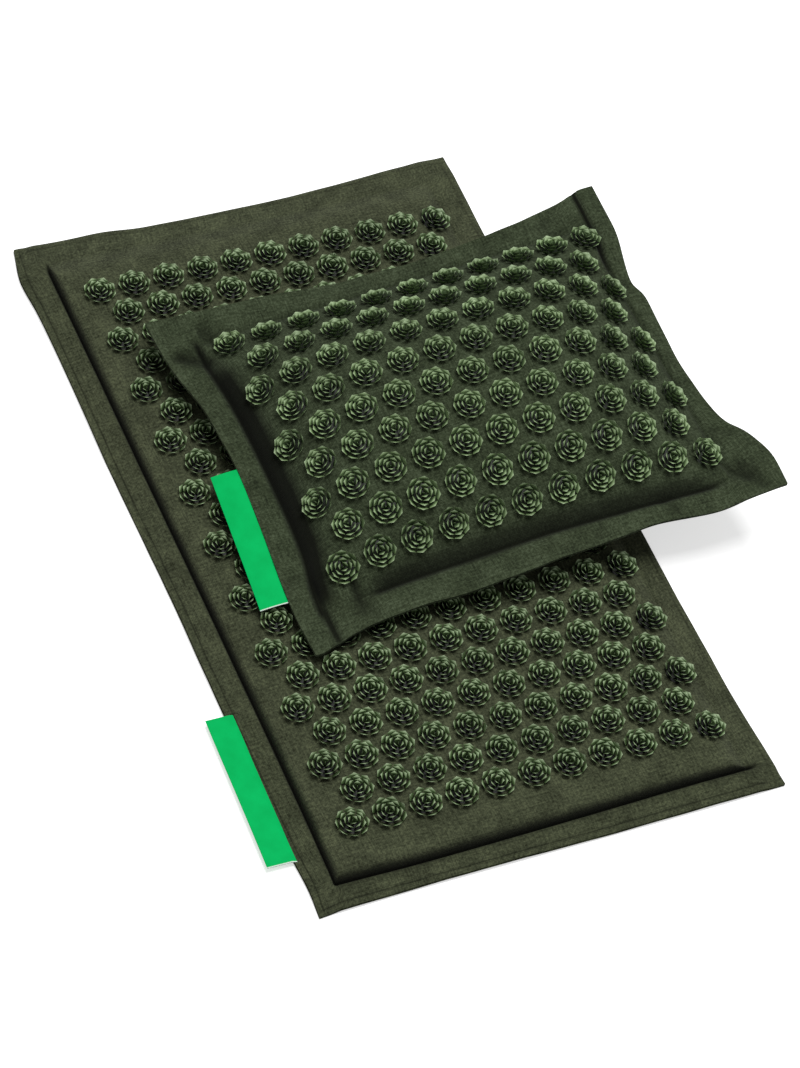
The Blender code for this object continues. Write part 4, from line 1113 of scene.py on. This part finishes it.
# %% Planted rosettes
def plant(name, places, ground, frame, finish, seed):
    """A copy of the rosette at each place, joined into one piece."""
    tree = BVHTree.FromObject(ground, bpy.context.evaluated_depsgraph_get())
    chance = random.Random(seed)
    up = frame.to_3x3() @ Vector((0, 0, 1))

    def ground_at(x, y):
        return tree.ray_cast(frame @ Vector((x, y, 0.2)), -up)[:2]

    copies = []
    for place in places:
        spot, normal = ground_at(place.x, place.y)
        around = [
            ground_at(place.x + dx * NORMAL_REACH, place.y + dy * NORMAL_REACH)[1]
            for dx, dy in ((1, 0), (-1, 0), (0, 1), (0, -1))
        ]
        normal = sum((side for side in around if side), normal).normalized()
        turn = Matrix.Rotation(chance.uniform(-0.3, 0.3), 4, "Z")
        size = Matrix.Scale(chance.uniform(0.98, 1.02), 4)
        stand = normal.to_track_quat("Z", "Y").to_matrix().to_4x4()
        mesh = rosette.data.copy()
        tone = chance.uniform(0.62, 0.88)
        for value in mesh.attributes["tone"].data:
            value.value = tone
        mesh.transform(Matrix.Translation(spot) @ stand @ turn @ size)
        copies.append(new_object(name, mesh))
    made = copies[0]
    select_only(made)
    for copy in copies:
        copy.select_set(True)
    bpy.ops.object.join()
    made.name = made.data.name = name
    give(made, finish)
    print(name, "has", len(made.data.polygons), "faces")
    return made


mat_rosettes = plant("mat_rosettes", mat_places, mat_top_cloth, Matrix.Identity(4), mat_plastic, 11)
pillow_rosettes = plant("pillow_rosettes", pillow_places, pillow_top_cloth, PILLOW_FRAME, pillow_plastic, 12)
bpy.data.objects.remove(rosette)
dress(mat_rosettes, "mat", "mat_top_panel", "olive_linen")
dress(pillow_rosettes, "pillow", "pillow_top_panel", "dark_olive_linen")

# %% [markdown]
# ## Side labels
# Each label is a green ribbon folded once along its length, with both edges sewn into the border. It stands
# out sideways. It is cut flat as twice its reach and the seam it needs, and left blank.

# %% Labels
LABEL_TUCK = 0.0055
LABEL_LAYER = 0.00035
LABEL_END = 0.0008
LABEL_CUT = 0.0005
LABEL_RIM = 0.0012


def label_frame(upper, lower, height):
    """X out of the border and Y back along its edge, at the middle of the label's stretch."""
    upper, lower, up = Vector((*upper, 0)), Vector((*lower, 0)), Vector((0, 0, 1))
    back = (lower - upper).normalized()
    turn = Matrix((back.cross(up), back, up)).transposed().to_4x4()
    middle = (upper + lower) / 2
    return Matrix.Translation((middle.x, middle.y, height)) @ turn


def make_label(name, length, frame, free, curl, wave):
    """A folded ribbon that reaches free beyond its seam, and rises by curl at its outer end."""
    reach = free + LABEL_TUCK
    bend = math.pi * LABEL_LAYER
    runs = spread(0, reach, 10) + spread(reach, reach + bend, 6)[1:-1]
    runs += spread(reach + bend, 2 * reach + bend, 10)
    end = length / 2
    stations = [-end, LABEL_CUT - end, *spread(LABEL_RIM - end, end - LABEL_RIM, 30), end - LABEL_CUT, end]

    def fold_place(run):
        """Where a length of ribbon lies: out to the fold, round it and back along the lower layer."""
        if run < reach:
            return run - LABEL_TUCK, LABEL_LAYER
        if run < reach + bend:
            turn = (run - reach) / LABEL_LAYER
            return free + LABEL_LAYER * math.sin(turn), LABEL_LAYER * math.cos(turn)
        return free - (run - reach - bend), -LABEL_LAYER

    def place_at(run, along):
        out, layer = fold_place(run)
        share = max(out, 0) / free
        lift = curl * share**2 + wave * share * math.sin(along * 38 + 0.6) + 0.4 * min(out, 0)
        return Vector((out, along, lift + layer))

    made = cloth_grid(name, runs, stations, place_at)
    set_attribute(made, "seam", [float(end - vert.co.y < LABEL_END) for vert in made.data.vertices])
    made.data.transform(frame)
    give(made, green_ribbon)
    bpy.ops.object.shade_smooth_by_angle(angle=math.radians(60))
    print(name, "is cut", round((2 * reach + bend) * 1000, 1), "by", length * 1000, "mm")
    return made


place = label_frame((-0.2058, -0.160), (-0.2100, -0.308), 0.0062)
mat_label = make_label("mat_label", 0.148, place, 0.0212, 0.0, 0.0004)
place = label_frame((-0.2065, 0.012), (-0.2180, -0.126), -BORDER_THICKNESS / 2)
pillow_label = make_label("pillow_label", 0.138, PILLOW_FRAME @ place, 0.0260, -0.0028, 0.0006)
dress(mat_label, "mat", "mat_side_label", "green_ribbon")
dress(pillow_label, "pillow", "pillow_side_label", "green_ribbon")

# %% [markdown]
# ## Fillings
# The foam pad and the husk bag fill their cases to just inside the cloth. They come out through the zips, so
# they are pieces of their own. Each is the case's own shape drawn in, closed round its edge.


# %% Closed pad
def closed_body(name, grid, frame, finish, top_at, bottom_at):
    """A closed pad between two heights, from one grid: its underside is made by extruding the grid."""
    made = cloth_grid(name, *grid, lambda x, y: Vector((x, y, 0)))
    bpy.ops.object.mode_set(mode="EDIT")
    bpy.ops.mesh.select_all(action="SELECT")
    bpy.ops.mesh.extrude_region_move(TRANSFORM_OT_translate={"value": (0, 0, 1)})
    bpy.ops.object.mode_set(mode="OBJECT")
    for vert in made.data.vertices:
        level = top_at if vert.co.z > 0.5 else bottom_at
        vert.co.z = level(vert.co.x, vert.co.y)
    bpy.ops.object.mode_set(mode="EDIT")
    bpy.ops.mesh.select_all(action="SELECT")
    bpy.ops.mesh.normals_make_consistent(inside=False)
    bpy.ops.object.mode_set(mode="OBJECT")
    made.data.transform(frame)
    give(made, finish)
    use_modifier(made, "SUBSURF", levels=1, render_levels=1)
    bpy.ops.object.shade_smooth_by_angle(angle=math.radians(50))
    print(name, "has", len(made.data.polygons), "faces")
    return made


print("a filling is one grid, extruded")


# %% Foam pad and husk bag
def foam_top(x, y):
    return mat_top(x, y, PAD_TOP - 0.0018).z - 0.0026


def foam_bottom(x, y):
    """Just above the lower panel, with a channel for the zip."""
    on_zip = abs(x) < 0.178 and abs(y - MAT_ZIP_Y) < 0.024
    return max(mat_underside(x, y).z + 0.0017, 0.0080 if on_zip else 0.0)


def husk_top(x, y):
    return pillow_top(x, y, 0.93).z - 0.0045


def husk_bottom(x, y):
    on_zip = abs(x) < 0.085 and abs(y - zip_middle_y) < 0.026
    return min(pillow_underside(x, y).z + (0.0075 if on_zip else 0.0030), husk_top(x, y) - 0.003)


grid = spread(-0.179, 0.179, 30), spread(-0.331, 0.331, 52)
mat_foam = closed_body("mat_foam", grid, Matrix.Identity(4), foam, foam_top, foam_bottom)
grid = spread(-0.160, 0.160, 28), spread(-0.120, 0.120, 22)
pillow_bag = closed_body("pillow_bag", grid, PILLOW_FRAME, husk_cotton, husk_top, husk_bottom)
dress(mat_foam, "mat", "mat_filling", "pale_filling", 0.6)
dress(pillow_bag, "pillow", "pillow_filling", "husk_bag", 0.8)

# %% [markdown]
# ## Zips
# A coil zip is two woven tapes, each with a nylon coil sewn along its edge. The coils are drawn as real coils
# here: one flattened turn for each tooth. The slider, the pull tab and the stops keep their CAD shapes.

# %% Tape and coil
COIL_WIDTH = 0.0017
COIL_THICKNESS = 0.0014
COIL_PARTING = 0.0011
COIL_PITCH = 0.0016
COIL_STEPS = 6
WIRE = 0.00022
TAPE_MIDDLE = -0.00175
TAPE_THICKNESS = 0.0004
TAPE_LINES = (0, 0.0004, 0.0008, 0.0030, 0.0060, 0.0090, 0.011)


def make_tape(name, side, half_length, frame):
    """A woven strip beside the coil."""
    inner = COIL_PARTING / 2 + COIL_WIDTH + 0.0003
    lines_y = sorted(side * (inner + reach) for reach in TAPE_LINES)
    lines_x = spread(-half_length, half_length, 60)
    upper = TAPE_MIDDLE + TAPE_THICKNESS / 2
    made = cloth_grid(name, lines_x, lines_y, lambda x, y: Vector((x, y, upper)))
    made.data.transform(frame)
    give(made, zip_tape)
    use_modifier(made, "SOLIDIFY", thickness=TAPE_THICKNESS, offset=-1)
    return made


def make_coil(name, side, half_length, frame):
    """A flattened coil, bevelled from a curve and then turned into a mesh."""
    turns = int(2 * half_length / COIL_PITCH)
    curve = bpy.data.curves.new(name, "CURVE")
    curve.dimensions = "3D"
    curve.bevel_depth = WIRE
    curve.bevel_resolution = 0
    spline = curve.splines.new("POLY")
    spline.points.add(turns * COIL_STEPS)
    middle = side * (COIL_PARTING / 2 + COIL_WIDTH / 2)
    for index, point in enumerate(spline.points):
        turn = 2 * math.pi * index / COIL_STEPS
        along = (index / (turns * COIL_STEPS) - 0.5) * (2 * half_length - 2 * WIRE)
        across = middle + (COIL_WIDTH / 2 - WIRE) * math.cos(turn)
        height = TAPE_MIDDLE + (COIL_THICKNESS / 2 - WIRE) * math.sin(turn)
        point.co = (along, across, height, 1)
    select_only(new_object(name, curve))
    bpy.ops.object.convert(target="MESH")
    made = bpy.context.active_object
    made.data.transform(frame)
    give(made, zip_coil)
    print(name, "has", turns, "turns")
    return made


print("a coil turns every", COIL_PITCH * 1000, "mm")

# %% Both zips
mat_zip_frame = Matrix.Translation((0, MAT_ZIP_Y, ZIP_ROOF)) @ Matrix.Rotation(math.pi, 4, "X")
for body, half_length, place in (("mat", 0.150, mat_zip_frame), ("pillow", 0.070, pillow_zip_frame())):
    for side, hand in ((-1, "left"), (1, "right")):
        tape = make_tape(f"{body}_tape_{hand}", side, half_length + 0.0028, place)
        coil = make_coil(f"{body}_coil_{hand}", side, half_length, place)
        dress(tape, body, f"{body}_zip_tape_{hand}", "zip_tape")
        dress(coil, body, f"{body}_zip_coil_{hand}", "zip_coil")
for name, node in frame["nodes"].items():
    if name.endswith(("slider", "pull_tab", "stop")):
        give(node, zip_metal)
        print(name, "keeps its CAD shape")
